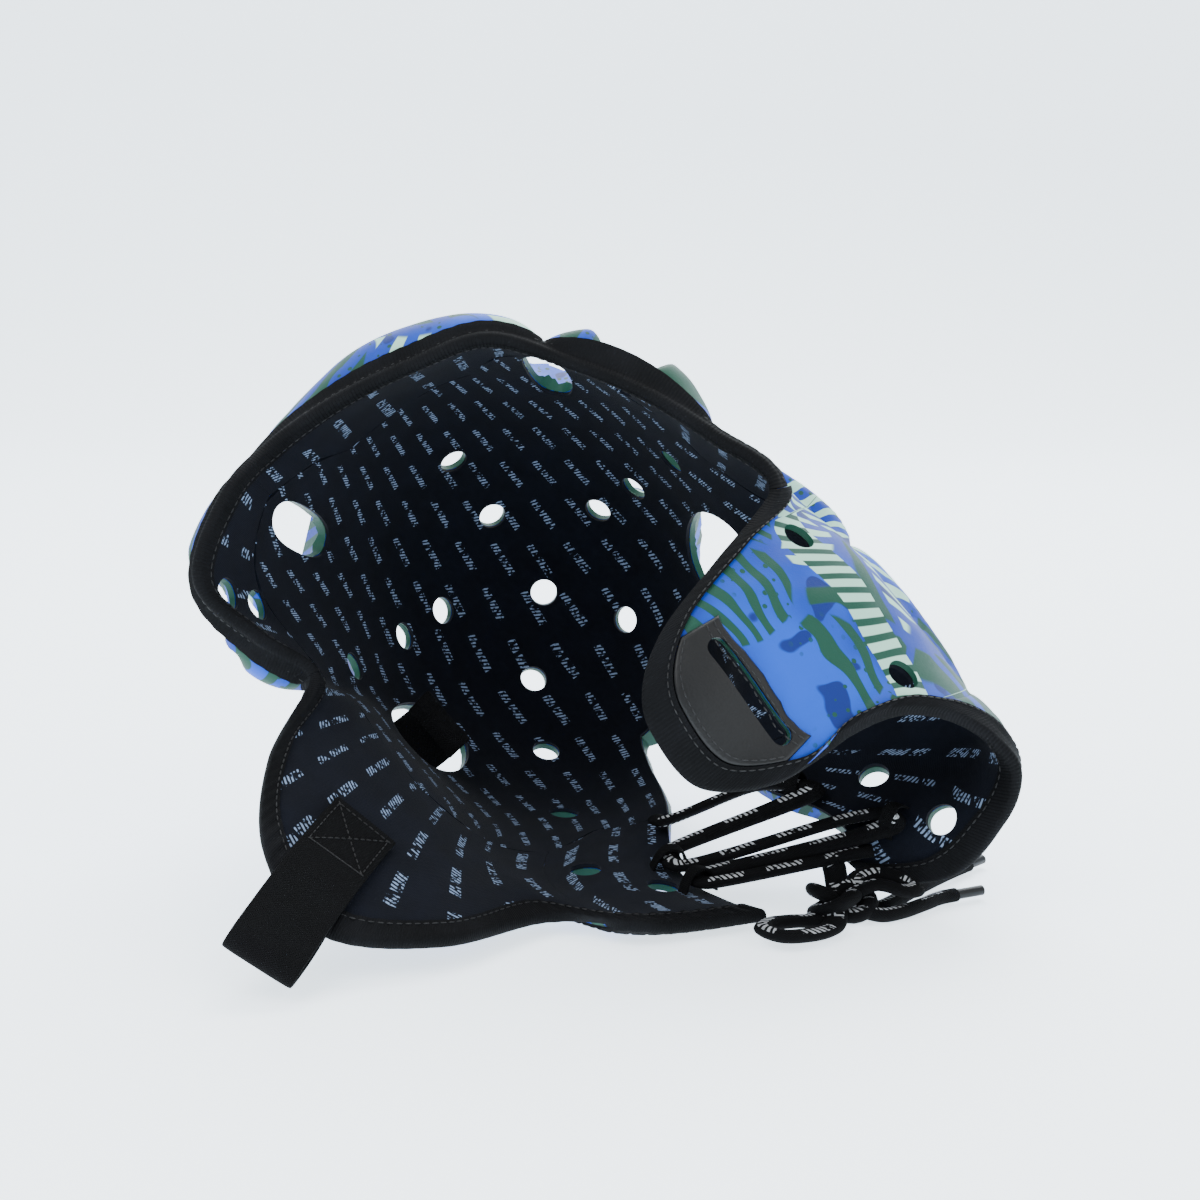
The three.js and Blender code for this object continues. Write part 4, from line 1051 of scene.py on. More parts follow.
@dataclass
class Crown:
    """The crown's padded shell and its lining."""

    ribs: Ribs
    openings: Openings
    pad_columns: int = 26
    pad_rows: int = 15
    lining_columns: int = 20
    lining_rows: int = 10
    unevenness: float = 0.35
    crease: float = 42

    def grid(self, columns: int, rows: int) -> tuple[np.ndarray, np.ndarray, np.ndarray]:
        """Turns, levels and seam levels, columns round the crown by rows down it."""
        even = (1 - np.cos(np.pi * np.arange(columns) / columns)) / 2
        half = [(k, s) for k in range(len(GROOVES) - 1) for s in even]
        right = [(-1, k, s) for k, s in half[:0:-1]]
        spots = [(1, k, s) for k, s in half] + [(-1, len(GROOVES) - 2, 1.0)] + right
        sign, sector, share = (np.array(v)[:, None] for v in zip(*spots))

        def groove(at: np.ndarray, level: np.ndarray) -> np.ndarray:
            """The turn of a groove at a level."""
            return GROOVES[at, 0] + GROOVES[at, 1] * np.minimum(level, GROOVES[at, 2])

        def turn_at(level: np.ndarray) -> np.ndarray:
            """The turn of each column at a level."""
            first = groove(sector, level)
            return sign * (first + (groove(sector + 1, level) - first) * share)

        seam = seam_at(turn_at(np.full(sign.shape, WAIST)))
        last = CROWN_BANDS[-1] + (seam - CROWN_BANDS[-1]) * LAST_BAND
        edges = [*(np.full(seam.shape, b) for b in CROWN_BANDS), last, seam]
        down = (1 - np.cos(np.pi * np.arange(rows) / rows)) / 2
        parts = [low + (high - low) * down[None] for low, high in zip(edges, edges[1:])]
        level = np.concatenate([*parts, seam], axis=1)
        return turn_at(level), level, np.broadcast_to(seam, level.shape)

    def shell(self) -> bpy.types.Object:
        """The padded shell, before its openings are cut."""
        turn, level, seam = self.grid(self.pad_columns, self.pad_rows)
        inner = self.ribs.above(turn, level, np.full(level.shape, LINING + GAP))
        bare = LINING + GAP + SHELL
        left = pressed(self.ribs, turn, level, self.openings.pressed_crown())
        outer = self.ribs.above(turn, level, bare + (crown_wall(turn, level, seam) - bare) * left)
        out, _ = self.ribs.directions(turn, level)
        outer += out * (self.unevenness * MM * wobble(outer, 30, 3))[..., None]
        inner[:, 0], outer[:, 0] = inner[0, 0], outer[0, 0]
        outer[..., 2] = np.maximum(outer[..., 2], 0)
        gone = length_along(inner, 1)
        polar = np.stack([gone * np.cos(np.radians(turn)), gone * np.sin(np.radians(turn))], axis=-1)
        maps = {"Cloth": polar, "Strip": np.full((*level.shape, 2), NO_STRIP)}
        return wall("crown_pads", inner, outer, maps, pole=True, around=True)

    def sheet(self) -> bpy.types.Object:
        """The lining, before its openings are cut."""
        turn, level, _ = self.grid(self.lining_columns, self.lining_rows)
        sheet = self.ribs.above(turn, level, np.full(level.shape, LINING))
        face = self.ribs.above(turn, level, self.unevenness * wobble(sheet, 26, 8) - self.unevenness)
        face[:, 0], sheet[:, 0] = face[0, 0], sheet[0, 0]
        gone = length_along(sheet, 1)
        polar = np.stack([gone * np.sin(np.radians(turn)), gone * np.cos(np.radians(turn))], axis=-1)
        return wall("crown_lining_cloth", face, sheet, {"Cloth": polar}, pole=True, around=True)

    def build(self, cloth: Finish, lining: Finish) -> None:
        """Makes the padded shell and the lining, and cuts their openings."""
        shell, back = self.shell(), self.sheet()
        plugs = Plugs(self.ribs)
        cutters = self.openings.for_crown(plugs)
        for piece in (shell, back):
            carve(piece, cutters)
            smooth(piece, self.crease)
        plugs.clear()
        ride(shell, cloth, ("crown_shell",))
        ride(back, lining, ("crown_lining",))


@dataclass
class LowerPanel:
    """One panel between the crown's seam and the rim, with its lining."""

    panel: Panel
    first: float
    last: float
    ribs: Ribs
    openings: Openings
    step: float = 1.5
    rows: int = 44
    lining_step: float = 2.4
    lining_rows: int = 26
    unevenness: float = 0.35
    crease: float = 42

    def grid(self, step: float, rows: int) -> tuple[np.ndarray, np.ndarray, np.ndarray]:
        """Turns and levels, columns by rows, and the share of the way down of each row."""
        near_rim = RIM - 0.05
        turns = even_turns(self.ribs, self.first + PANEL_GAP, self.last - PANEL_GAP, near_rim, step)
        top, foot, lean = turns, turns, 1.0
        if self.panel is Panel.NAPE_LEFT:
            edge = np.interp(seam_at(SPLIT_FOOT), SPLIT[:, 0], SPLIT[:, 1]) - PANEL_GAP
            reach = (turns - turns[0]) / (turns[-1] - turns[0])
            top = turns[0] + (edge - turns[0]) * reach
            foot, lean = turns[0] + (SPLIT_FOOT - turns[0]) * reach, SPLIT_LEAN
        share = np.linspace(0, 1, rows)[None]
        turn = top[:, None] + (foot - top)[:, None] * (1 - (1 - share) ** lean)
        seam = seam_at(turn) + SEAM_GAP
        return turn, seam + (RIM - seam) * share, share

    def strip(self, turn: np.ndarray, level: np.ndarray) -> np.ndarray:
        """The pale strip's map on the left cheek: millimetres along it and off its middle."""
        if self.panel is not Panel.CHEEK_LEFT:
            return np.full((*level.shape, 2), NO_STRIP)
        centre = 2.31 + 0.0011 * (turn - 120) ** 2
        beyond = np.maximum(104 - turn, 0) + np.maximum(turn - 146, 0)
        off = (level - centre) * self.ribs.rib_length(turn) + 60 * beyond
        along = length_along(self.ribs.above(turn, centre, 4.0 + 0 * turn), 0)
        return np.stack([along, off], axis=-1)

    @staticmethod
    def cloth_map(points: np.ndarray) -> np.ndarray:
        """Millimetres along the panel's middle row and down each column."""
        across, down = length_along(points, 0), length_along(points, 1)
        across = np.broadcast_to(across[:, across.shape[1] // 2][:, None], across.shape)
        return np.stack([across, down], axis=-1)

    def shell(self) -> bpy.types.Object:
        """The padded panel, before its openings are cut."""
        turn, level, share = self.grid(self.step, self.rows)
        height = lower_wall(turn, level)
        bare = np.minimum(height, LINING + GAP + SHELL)
        height = bare + (height - bare) * pressed(self.ribs, turn, level, self.openings.pressed_panels())
        inner = self.ribs.above(turn, level, np.full(level.shape, LINING + GAP))
        face = self.ribs.above(turn, level, height)
        soft = pillow(np.broadcast_to(share, level.shape))
        waves = 0.45 * wobble(face, 34, 5) + 0.25 * wobble(face, 13, 6)
        outer = self.ribs.above(turn, level, height + soft * waves)
        maps = {"Cloth": self.cloth_map(inner), "Strip": self.strip(turn, level)}
        return wall(f"{self.panel.value}_pad", inner, outer, maps)

    def sheet(self) -> bpy.types.Object:
        """The lining, before its openings are cut."""
        turn, level, _ = self.grid(self.lining_step, self.lining_rows)
        sheet = self.ribs.above(turn, level, np.full(level.shape, LINING))
        face = self.ribs.above(turn, level, self.unevenness * wobble(sheet, 22, 9) - self.unevenness)
        return wall(f"{self.panel.value}_lining_cloth", face, sheet, {"Cloth": self.cloth_map(sheet)})

    def build(self, cloth: Finish, lining: Finish) -> None:
        """Makes the padded panel and its lining, and cuts their openings."""
        shell, back = self.shell(), self.sheet()
        plugs = Plugs(self.ribs)
        cutters = self.openings.for_panel(plugs, self.panel)
        for piece in (shell, back):
            if cutters:
                carve(piece, cutters)
            smooth(piece, self.crease)
        plugs.clear()
        ride(shell, cloth, (self.panel.value,))
        ride(back, lining, (f"{self.panel.value}_lining",))


@dataclass
class Binding:
    """A tape folded over the rim from turn to turn, with its row of stitches on either face."""

    name: str
    node: str
    first: float
    last: float
    ribs: Ribs
    gather: float = 0.0
    width: float = BINDING_WIDTH
    outer_width: float = BINDING_WIDTH
    tape: float = 0.9
    leaf_gap: float = 0.4
    step: float = 1.1
    fold: float = 1.6
    girth: float = 48.0
    leaf_points: int = 7
    stitch_inset: float = 1.8
    stitch_height: float = 0.1

    def section(self, turn: np.ndarray, arc: np.ndarray) -> np.ndarray:
        """Closed outlines of the folded tape at each turn, in metres."""
        count = self.leaf_points
        leaf = np.linspace(-self.width, 0, count)
        over = np.linspace(-self.outer_width, 0, count)
        bend = np.linspace(np.pi / 2, -np.pi / 2, 9)[1:-1]
        reach = np.concatenate([over, self.fold * np.cos(bend), leaf[::-1]])
        rib = self.ribs.rib_length(turn)[:, None]
        level = RIM + reach[None] / rib
        top = lower_wall(turn[:, None], np.minimum(level, RIM)) + GAP + self.tape / 2
        low = -self.leaf_gap - self.tape / 2
        edge = top[:, count - 1:count]
        middle = (edge + low) / 2
        side = np.concatenate([np.full(count, 1.0), np.sin(bend), np.full(count, -1.0)])[None]
        folded = middle + (edge - middle) * side
        height = np.where(reach[None] > 0, folded, np.where(side > 0, top, low))
        # Gathers 5.6 mm apart, uneven over 17 and 23 mm
        ripple = np.sin(2 * np.pi * arc / 5.6 + 1.3 * np.sin(arc / 17)) * (0.6 + 0.4 * np.sin(arc / 23))
        fade = np.clip(1.15 - np.abs(reach + 4.5) / 7, 0.25, 1)
        height = height + self.gather * ripple[:, None] * fade[None] * side
        flat = np.stack([np.broadcast_to(reach, height.shape), height], axis=-1)
        way = unit(np.gradient(flat, axis=1))
        across = np.stack([-way[..., 1], way[..., 0]], axis=-1) * self.tape / 2
        outline = np.concatenate([flat + across, (flat - across)[:, ::-1]], axis=1)
        return self.ribs.above(turn[:, None], RIM + outline[..., 0] / rib, outline[..., 1])

    def build(self, finish: Finish) -> None:
        """Makes the tape."""
        turn = even_turns(self.ribs, self.first + PANEL_GAP, self.last - PANEL_GAP, RIM, self.step)
        rim = self.ribs.above(turn, np.full(turn.shape, RIM), 0 * turn)
        arc = length_along(rim, 0)
        rings = self.section(turn, arc)
        girth = np.linspace(0, self.girth, rings.shape[1])
        cloth = np.stack(np.broadcast_arrays(arc[:, None], girth[None]), axis=-1)
        ride(sweep(self.name, rings, cloth, angle=70), finish, (self.node,))

    def seams(self) -> list[np.ndarray]:
        """Lines of stitches on the outer and the inner leaf."""
        turn = even_turns(self.ribs, self.first + 1, self.last - 1, RIM, 2.0)
        level = RIM - (self.outer_width - self.stitch_inset) / self.ribs.rib_length(turn)
        above = lower_wall(turn, level) + GAP + self.tape + self.stitch_height
        outer = self.ribs.above(turn, level, above)
        below = RIM - (self.width - self.stitch_inset) / self.ribs.rib_length(turn)
        inner = self.ribs.above(turn, below, 0 * turn - self.leaf_gap - self.tape - self.stitch_height)
        return [outer, inner]


@dataclass
class SlotPatch:
    """The leather-look patch over the left flap's tip, round the strap slot."""

    ribs: Ribs
    thick: float = 1.2
    edge_thick: float = 0.25
    setback: float = 0.001
    first: float = 114
    last: float = 129
    # Turns and levels of the upper edge
    upper_edge: tuple = (
        (114, 2.78), (116.5, 2.74), (119, 2.71), (121.5, 2.7), (124, 2.71), (126.5, 2.75), (129, 2.81),
    )
    # How soon the edges reach the full thickness: shares gained by a level and by a degree
    gain_level: float = 140
    gain_turn: float = 2.2
    # Places of the stitches: degrees and levels inside the edge, the second row, and their height
    stitch_turn: float = 0.8
    stitch_inset: float = 0.022
    row_apart: float = 0.024
    stitch_height: float = 0.08

    def grid(
        self, first: float, last: float, inset: float, columns: int,
    ) -> tuple[np.ndarray, np.ndarray, np.ndarray]:
        """Turns with the levels of the patch's upper and lower edge, drawn in by an inset in levels."""
        turn = np.linspace(first, last, columns)
        at, level = np.array(self.upper_edge).T
        edge = np.interp(turn, at, level)
        foot = RIM - BINDING_WIDTH / self.ribs.rib_length(turn) - self.setback
        return turn, edge + inset, foot - inset

    def build(self, finish: Finish) -> None:
        """Makes the patch."""
        turn, edge, foot = self.grid(self.first, self.last, 0, 110)
        share = np.linspace(0, 1, 40)[None]
        level = edge[:, None] + (foot - edge)[:, None] * share
        turns = np.broadcast_to(turn[:, None], level.shape)
        height = lower_wall(turns, level) + GAP
        rows = np.minimum(share, 1 - share) * (foot - edge)[:, None] * self.gain_level
        ends = np.minimum(turns - self.first, self.last - turns) * self.gain_turn
        soft = np.clip(np.minimum(rows, ends), 0, 1) ** 0.5
        low = self.ribs.above(turns, level, height)
        top = height + self.edge_thick + (self.thick - self.edge_thick) * soft
        high = self.ribs.above(turns, level, top)
        cloth = np.stack([length_along(low, 0), length_along(low, 1)], axis=-1)
        patch = wall("slot_patch_leather", low, high, {"Cloth": cloth})
        plugs = Plugs(self.ribs)
        carve(patch, [plugs.slot()])
        plugs.clear()
        smooth(patch, 45)
        ride(patch, finish, ("slot_patch",))

    def seams(self) -> list[np.ndarray]:
        """Lines of stitches inside the patch's edge."""
        first, last = self.first + self.stitch_turn, self.last - self.stitch_turn
        turn, edge, foot = self.grid(first, last, self.stitch_inset, 60)
        lines = []
        for level in (edge, edge + self.row_apart, foot):
            height = lower_wall(turn, level) + GAP + self.thick + self.stitch_height
            lines.append(self.ribs.above(turn, level, height))
        return lines


@dataclass
class ChinStrap:
    """The webbing strap, sewn inside the right cheek and rolled into the right ear hole."""

    ribs: Ribs
    width: float = 0.025
    thick: float = 0.0018
    floor: float = 0.0004
    # The sewn box: its ends along the strap in millimetres, and its share of the half width
    sewn: tuple[float, float] = (2.5, 24.0)
    sewn_share: float = 0.82
    # Turn, level and height in millimetres of the strap's middle line, from its sewn end
    run: tuple = (
        (-111.5, 2.46, -2.6), (-111.5, 2.62, -2.8), (-111.5, 2.8, -3.6), (-111.5, 3, -4), (-111.5, 3.14, -3.6),
        (-111.5, 3.26, -1.8), (-111.5, 3.3, 2.2), (-111.5, 3.24, 6.6), (-111.5, 3.08, 8.6), (-111, 2.8, 9),
        (-109, 2.4, 10), (-105, 2, 13), (-101, 1.6, 15.5), (-99, 1.3, 14.5), (-98.8, 1.1, 7), (-98.8, 1.02, -3),
        (-99, 1.05, -12), (-100, 1.17, -17), (-101, 1.25, -13), (-101, 1.24, -8.5),
    )

    def line(self, count: int) -> tuple[np.ndarray, np.ndarray]:
        """Centre points and width directions along the run."""
        run = np.array(self.run)
        points = self.ribs.above(run[:, 0], run[:, 1], run[:, 2])
        out, down = self.ribs.directions(run[:, 0], run[:, 1])
        return catmull(points, count), catmull(np.cross(out, down), count)

    def build(self, finish: Finish) -> None:
        """Makes the strap."""
        line, across = self.line(260)
        strap = ribbon("chin_strap_webbing", line, across, self.width, self.thick, self.floor)
        ride(strap, finish, ("chin_strap",))

    def seams(self) -> list[np.ndarray]:
        """The stitched box with its cross at the strap's sewn end."""
        line, across = self.line(260)
        tangent = unit(np.gradient(line, axis=0))
        wide = unit(across - tangent * np.sum(across * tangent, axis=1, keepdims=True))
        up = np.cross(tangent, wide)
        gone = length_along(line, 0)

        def at(run: float, share: float) -> np.ndarray:
            """The point a distance along the strap and a share of its half width to the side."""
            point, side = (np.array([np.interp(run, gone, v[:, k]) for k in range(3)]) for v in (line, wide))
            return point + side * share * self.width / 2

        (near, far), wide_share = self.sewn, self.sewn_share
        box = [(near, -wide_share), (near, wide_share), (far, wide_share), (far, -wide_share)]
        corners = [*box, box[0], box[2], box[3], box[1]]
        lift = up[8] * (self.thick / 2 + 0.0001)
        lines = []
        for face in (1, -1):
            rows = []
            for (r0, s0), (r1, s1) in zip(corners, corners[1:]):
                for w in np.linspace(0, 1, 8):
                    rows.append(at(r0 + (r1 - r0) * w, s0 + (s1 - s0) * w) + lift * face)
            lines.append(np.array(rows))
        return lines


@dataclass
class Lace:
    """The lace over the back split: crossings, loops, knot, bow and two free ends with tips."""

    ribs: Ribs
    width: float = 0.0054
    run_width: float = 0.0082
    flat: float = 0.48
    height: float = -4.6
    # Turns and levels of the crossings and of the loops that hold them
    turns: tuple = (
        (-176.9, 1.38), (-178.8, 1.43), (172.4, 1.46), (170.6, 1.51), (170.5, 1.62), (172, 1.67), (-179.1, 1.72),
        (-177.3, 1.77), (-177.3, 1.88), (-179, 1.92), (174.8, 1.94), (173, 1.98), (173.1, 2.09), (174.8, 2.13),
        (-179.2, 2.18), (-177.7, 2.23), (-177.7, 2.33), (-179, 2.37), (176.6, 2.4),
    )
    loops: tuple = ((170.5, 1.565), (-177.3, 1.825), (173.05, 2.035), (-177.7, 2.28))
    # Points on the floor's frame in millimetres, as the solids have them
    to_knot: tuple = ((106, -50.5, 17), (106.4, -52.8, 14.4), (106.6, -57.4, 11.2), (106.7, -61, 8.4))
    knot: tuple = (106.7, -63.7, 6.6)
    front_bow: tuple = (
        (102.6, -66.6, 5), (99.8, -69.4, 4.4), (96.6, -73.4, 3.4), (89.6, -76.2, 4), (82.6, -80.2, 4.6),
        (79.6, -86.4, 4.8), (84.6, -91.4, 4.4), (92.6, -89.6, 4), (99.4, -84.4, 3.6), (103.2, -77.8, 3.4),
        (104.4, -72.6, 4.4), (105.2, -68.6, 5.6),
    )
    back_bow: tuple = (
        (110.4, -61.4, 8.4), (112.6, -58, 10.2), (115, -54.4, 12), (120.6, -54.4, 13.6), (128.2, -57, 12.6),
        (132.4, -61.4, 10.6), (129.2, -65.6, 10.8), (122.4, -64.4, 12.4), (119, -63.6, 12.4),
        (113.6, -64, 10.6), (110, -64, 8.6),
    )
    end_a: tuple = (
        (114.4, -60.8, 4.2), (120.6, -60.2, 3.2), (127, -53.6, 3), (135.6, -42.6, 3), (145.4, -30.6, 3),
        (154.4, -20.4, 3), (161, -13.6, 3),
    )
    end_b: tuple = (
        (114.8, -67.6, 4.2), (120.8, -68.2, 3.2), (128, -64.4, 3), (136.6, -57, 3), (144, -50, 3), (150, -46.6, 3),
    )
    tip_a: tuple = ((160.4, -13.9, 3), (167.7, -6.7, 3))
    tip_b: tuple = ((149.6, -46.8, 3), (160.4, -41.6, 3))
    tip_radius: float = 0.0018
    knot_radius: float = 0.0036
    knot_size: float = 6.6
    # Each loop's foot, top and half width in millimetres, then its webbing's width and thickness
    loop_foot: float = -1.0
    loop_top: float = -9.2
    loop_half: float = 6.6
    loop_width: float = 0.005
    loop_thick: float = 0.0009

    def placed(self, points: tuple) -> np.ndarray:
        """Points on the floor's frame in millimetres, as points in the row's frame in metres."""
        return (np.array(points, float) - np.array(self.ribs.shape.middle)) * MM

    def free_end(
        self, name: str, points: tuple, tip_points: tuple, nodes: tuple[str, str], lace: Finish, tip: Finish,
    ) -> None:
        """One free end with its moulded tip."""
        line = catmull(self.placed(points), 90)
        end = ride(tube(name, line, self.width / 2, 0.9), lace, nodes[:1])
        sleeve = tube(f"{name}_tip", catmull(self.placed(tip_points), 12), self.tip_radius)
        ride(sleeve, tip, nodes[1:])

    def build_ends(self, lace: Finish, tip: Finish) -> None:
        """Makes both free ends."""
        self.free_end("lace_free_end_a", self.end_a, self.tip_a, ("lace_end_a", "aglet_a"), lace, tip)
        self.free_end("lace_free_end_b", self.end_b, self.tip_b, ("lace_end_b", "aglet_b"), lace, tip)

    def build(self, lace: Finish, webbing: Finish) -> None:
        """Makes the crossings, the loops, the knot and the bow."""
        turns = np.array(self.turns)
        run = self.ribs.above(turns[:, 0], turns[:, 1], np.full(len(turns), self.height))
        line = catmull(np.vstack([run, self.placed(self.to_knot)]), 420)
        ride(tube("lace_run", line, self.run_width / 2, self.flat), lace, ("lace_crossings",))
        for i, (turn, level) in enumerate(self.loops):
            self.loop(i + 1, turn, level, webbing)
        self.tie(lace)
        for name, points, node in (
            ("lace_bow_near", self.front_bow, "lace_bow_front"),
            ("lace_bow_far", self.back_bow, "lace_bow_back"),
        ):
            bow = tube(name, catmull(self.placed(points), 120), self.run_width / 2, self.flat)
            ride(bow, lace, (node,))

    def tie(self, lace: Finish) -> None:
        """Makes the knot, a trefoil."""
        u = np.linspace(0, 4 * np.pi, 180, endpoint=False)
        swing = np.cos(1.5 * u)
        way = np.stack([(2 + swing) * np.cos(u), (2 + swing) * np.sin(u), np.sin(1.5 * u)], axis=-1)
        line = self.placed(way * self.knot_size / 2 + np.array(self.knot))
        knot = tube("lace_knot_tied", line, self.knot_radius, 0.7, closed=True)
        ride(knot, lace, ("lace_knot",))

    def loop(self, number: int, turn: float, level: float, webbing: Finish) -> None:
        """A small arch of webbing that holds the lace."""
        share = np.linspace(-1, 1, 40)
        out, down = self.ribs.directions(np.array([turn]), np.array([level]))
        around = np.cross(out[0], down[0])
        height = self.loop_top + (self.loop_foot - self.loop_top) * np.abs(share) ** 3
        centre = self.ribs.above(turn, level, 0.0)
        arch = around[None] * (share * self.loop_half)[:, None] + out[0][None] * height[:, None]
        line, across = centre + arch * MM, np.repeat(down, len(share), 0)
        name = f"lace_webbing_loop_{number}"
        piece = ribbon(name, line, across, self.loop_width, self.loop_thick)
        ride(piece, webbing, (f"lace_loop_{number}",))


def crown_seams(ribs: Ribs) -> list[np.ndarray]:
    """Twin lines of stitches on either side of the crown's seam, left and right."""
    lines = []
    for first, last in ((-177, -46), (-40, 40), (46, 163)):
        turn = even_turns(ribs, first, last, 1.8, 2.0)
        for drop in (0.045, 0.075):
            level = seam_at(turn) + SEAM_GAP + drop
            lines.append(ribs.above(turn, level, lower_wall(turn, level) + 0.12))
    return lines


class Thread:
    """A geometry node tree that lays stitches along lines."""

    seed = 11

    def __init__(self) -> None:
        """Builds the tree with its named inputs."""
        tree = bpy.data.node_groups.new("stitches", "GeometryNodeTree")
        face = tree.interface
        face.new_socket("Lines", in_out="INPUT", socket_type="NodeSocketGeometry")
        self.sockets = {}
        for name, kind, value in (
            ("Spacing", "NodeSocketFloat", 0.0032), ("Length", "NodeSocketFloat", 0.0024),
            ("Thickness", "NodeSocketFloat", 0.0005), ("Seed", "NodeSocketInt", 7),
        ):
            socket = face.new_socket(name, in_out="INPUT", socket_type=kind)
            socket.default_value = value
            self.sockets[name] = socket.identifier
        socket = face.new_socket("Thread", in_out="INPUT", socket_type="NodeSocketMaterial")
        self.sockets["Thread"] = socket.identifier
        face.new_socket("Stitches", in_out="OUTPUT", socket_type="NodeSocketGeometry")
        given = add_node(tree, "NodeGroupInput")
        points = add_node(tree, "GeometryNodeCurveToPoints", {"mode": "LENGTH"}, {
            "Curve": given.outputs["Lines"], "Length": given.outputs["Spacing"],
        })
        ball = add_node(tree, "GeometryNodeMeshUVSphere", inputs={"Segments": 8, "Rings": 6, "Radius": 0.5})
        vary = add_node(tree, "FunctionNodeRandomValue", {"data_type": "FLOAT"}, {
            2: 0.88, 3: 1.08, "Seed": given.outputs["Seed"],
        })
        length = add_node(tree, "ShaderNodeMath", {"operation": "MULTIPLY"}, {
            0: given.outputs["Length"], 1: vary.outputs[1],
        })
        size = add_node(tree, "ShaderNodeCombineXYZ", inputs={
            0: given.outputs["Thickness"], 1: given.outputs["Thickness"], 2: length.outputs[0],
        })
        placed = add_node(tree, "GeometryNodeInstanceOnPoints", inputs={
            "Points": points.outputs["Points"], "Instance": ball.outputs["Mesh"],
            "Rotation": points.outputs["Rotation"], "Scale": size.outputs[0],
        })
        real = add_node(tree, "GeometryNodeRealizeInstances", inputs={"Geometry": placed.outputs[0]})
        painted = add_node(tree, "GeometryNodeSetMaterial", inputs={
            "Geometry": real.outputs[0], "Material": given.outputs["Thread"],
        })
        add_node(tree, "NodeGroupOutput", inputs={0: painted.outputs[0]})
        self.tree = tree

    def sew(
        self, name: str, lines: list[np.ndarray], finish: Finish, spacing: float, length: float,
    ) -> None:
        """Lays stitches along lines and keeps them as one mesh piece."""
        curve = bpy.data.curves.new(name, "CURVE")
        curve.dimensions = "3D"
        for line in lines:
            spline = curve.splines.new("POLY")
            spline.points.add(len(line) - 1)
            spline.points.foreach_set("co", np.hstack([line, np.ones((len(line), 1))]).ravel())
        sewn = bpy.data.objects.new(f"{name}_lines", curve)
        bpy.context.collection.objects.link(sewn)
        stitcher = sewn.modifiers.new("stitches", "NODES")
        stitcher.node_group = self.tree
        stitcher[self.sockets["Spacing"]] = spacing
        stitcher[self.sockets["Length"]] = length
        stitcher[self.sockets["Seed"]] = self.seed
        stitcher[self.sockets["Thread"]] = finish.material
        graph = bpy.context.evaluated_depsgraph_get()
        mesh = bpy.data.meshes.new_from_object(sewn.evaluated_get(graph))
        bpy.data.objects.remove(sewn)
        piece = bpy.data.objects.new(name, mesh)
        bpy.context.collection.objects.link(piece)
        mesh.shade_smooth()
        ride(piece, finish)


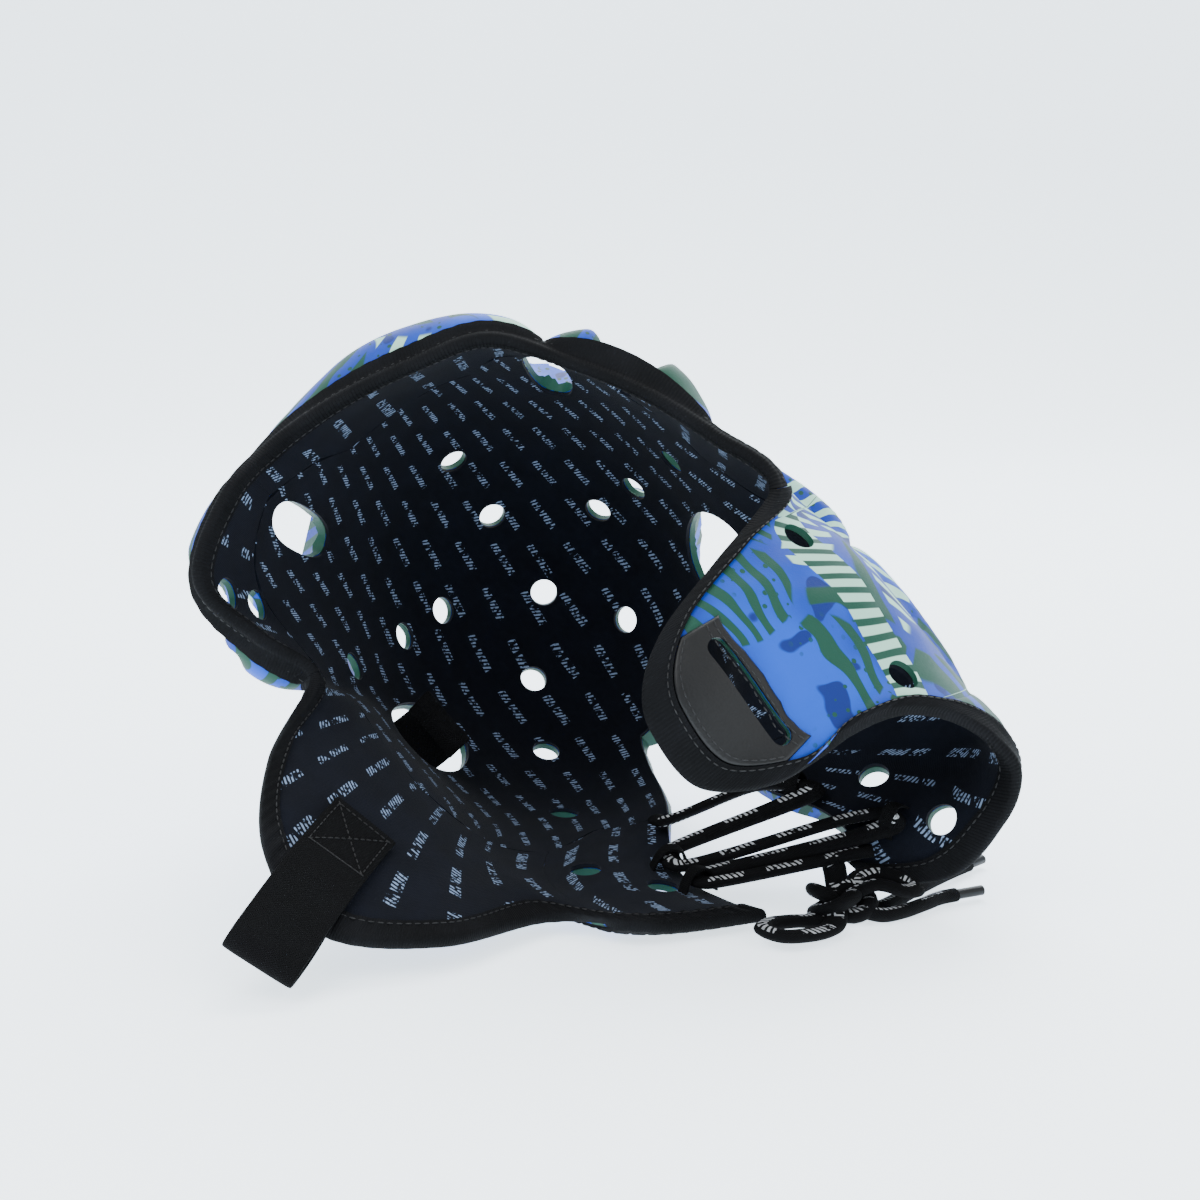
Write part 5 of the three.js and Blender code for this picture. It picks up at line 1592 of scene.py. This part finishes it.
@dataclass
class Studio:
    """Pale floor, soft lights and the camera at the photograph's place."""

    # Place in metres, degrees below level and focal length in millimetres, set to the photograph's framing
    camera_place: tuple[float, float, float] = (-0.0015, -0.6486, 0.2146)
    pitch: float = 9.91
    lens: float = 54.0
    floor_size: float = 9.0
    sweep_start: float = 1.6
    sweep_radius: float = 1.4

    def build_camera(self) -> None:
        """Makes the camera."""
        data = bpy.data.cameras.new("camera")
        data.lens, data.sensor_width = self.lens, 36.0
        data.clip_start, data.clip_end = 0.01, 50
        camera = bpy.data.objects.new("camera", data)
        camera.location = self.camera_place
        camera.rotation_euler = (math.radians(90 - self.pitch), 0, 0)
        bpy.context.collection.objects.link(camera)
        bpy.context.scene.camera = camera

    def light(
        self, name: str, place: tuple[float, float, float], size: float, watts: float,
        aim: tuple[float, float, float],
    ) -> None:
        """A soft square light aimed at a point."""
        data = bpy.data.lights.new(name, "AREA")
        data.size, data.energy = size, watts
        lamp = bpy.data.objects.new(name, data)
        lamp.location = place
        lamp.rotation_euler = (Vector(aim) - Vector(place)).to_track_quat("-Z", "Y").to_euler()
        bpy.context.collection.objects.link(lamp)

    def build(self) -> None:
        """Makes the floor, the lights and the pale world."""
        half, bend = self.floor_size / 2, np.linspace(0, np.pi / 2, 16)
        back = self.sweep_start + self.sweep_radius * np.sin(bend)
        rise = self.sweep_radius * (1 - np.cos(bend))
        line = np.vstack([[-half, 0], np.stack([back, rise], axis=-1), [back[-1], rise[-1] + half]])
        points = [[x, y, z] for y, z in line for x in (-half, half)]
        mesh = bpy.data.meshes.new("floor")
        faces = [[2 * i, 2 * i + 1, 2 * i + 3, 2 * i + 2] for i in range(len(line) - 1)]
        mesh.from_pydata(points, [], faces)
        mesh.shade_smooth()
        floor = bpy.data.objects.new("floor", mesh)
        bpy.context.collection.objects.link(floor)
        floor.data.materials.append(StudioFloor().material)
        # A hair under the cap, so that the two don't flicker where they touch
        floor.location.z = -0.0002
        middle = (0.0, 0.0, 0.1)
        self.light("key", (-0.8, -0.9, 1.6), 1.6, 30, middle)
        self.light("fill", (1.2, -1.0, 1.0), 1.6, 12, middle)
        self.light("back", (0.3, 1.0, 1.6), 1.6, 42, middle)
        world = bpy.data.worlds.new("pale studio")
        bpy.context.scene.world = world
        world.use_nodes = True
        world.node_tree.nodes["Background"].inputs[0].default_value = linear("#f1f7fc")
        world.node_tree.nodes["Background"].inputs[1].default_value = 0.9


def main() -> None:
    """Builds every part of the cap in order."""
    logging.basicConfig(level=logging.INFO, format="%(message)s")
    Studio().build_camera()
    ribs = Ribs(CapShape())
    lace = Lace(ribs)
    woven, tip, webbing = WovenLace(), LaceTip(), Webbing()
    lace.build_ends(woven, tip)
    lace.build(woven, webbing)
    cloth, lining = PrintedCloth(), LiningCloth()
    openings = Openings(ribs)
    Crown(ribs, openings).build(cloth, lining)
    for panel, first, last in (
        (Panel.BAND, -42.5, 42.5), (Panel.CHEEK_LEFT, 42.5, 148), (Panel.CHEEK_RIGHT, -148, -42.5),
        (Panel.NAPE_LEFT, 148, 180), (Panel.NAPE_RIGHT, -180, -148),
    ):
        LowerPanel(panel, first, last, ribs, openings).build(cloth, lining)
    smooth_tape = BindingTape("smooth binding tape", "#07080a", 1.3)
    gathered_tape = BindingTape("gathered binding tape", "#060709", 0.9)
    bindings = (
        Binding("face_tape", "face_binding", -83, 100, ribs, gather=0.12, width=6.0, outer_width=3.4),
        Binding("neck_tape_left", "neck_binding_left", 100, SPLIT_FOOT + PANEL_GAP, ribs, gather=0.12),
        Binding("neck_tape_right", "neck_binding_right", -180, -83, ribs, gather=0.4, width=8.0),
    )
    for binding, tape in zip(bindings, (smooth_tape, smooth_tape, gathered_tape)):
        binding.build(tape)
    patch, strap = SlotPatch(ribs), ChinStrap(ribs)
    patch.build(PatchLeather())
    strap.build(webbing)
    thread = Thread()
    pale = SewingThread("pale thread", "#c9d3da")
    thread.sew("seam_stitches", crown_seams(ribs), pale, 0.0033, 0.0025)
    dark = SewingThread("charcoal thread", "#191b1e")
    edges = [line for binding in bindings for line in binding.seams()]
    thread.sew("binding_stitches", edges, dark, 0.003, 0.0023)
    thread.sew("patch_stitches", patch.seams(), dark, 0.0028, 0.0022)
    black = SewingThread("black thread", "#0d0e10")
    thread.sew("strap_stitches", strap.seams(), black, 0.0024, 0.0019)
    Studio().build()


if __name__ == "__main__":
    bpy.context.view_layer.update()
    main()
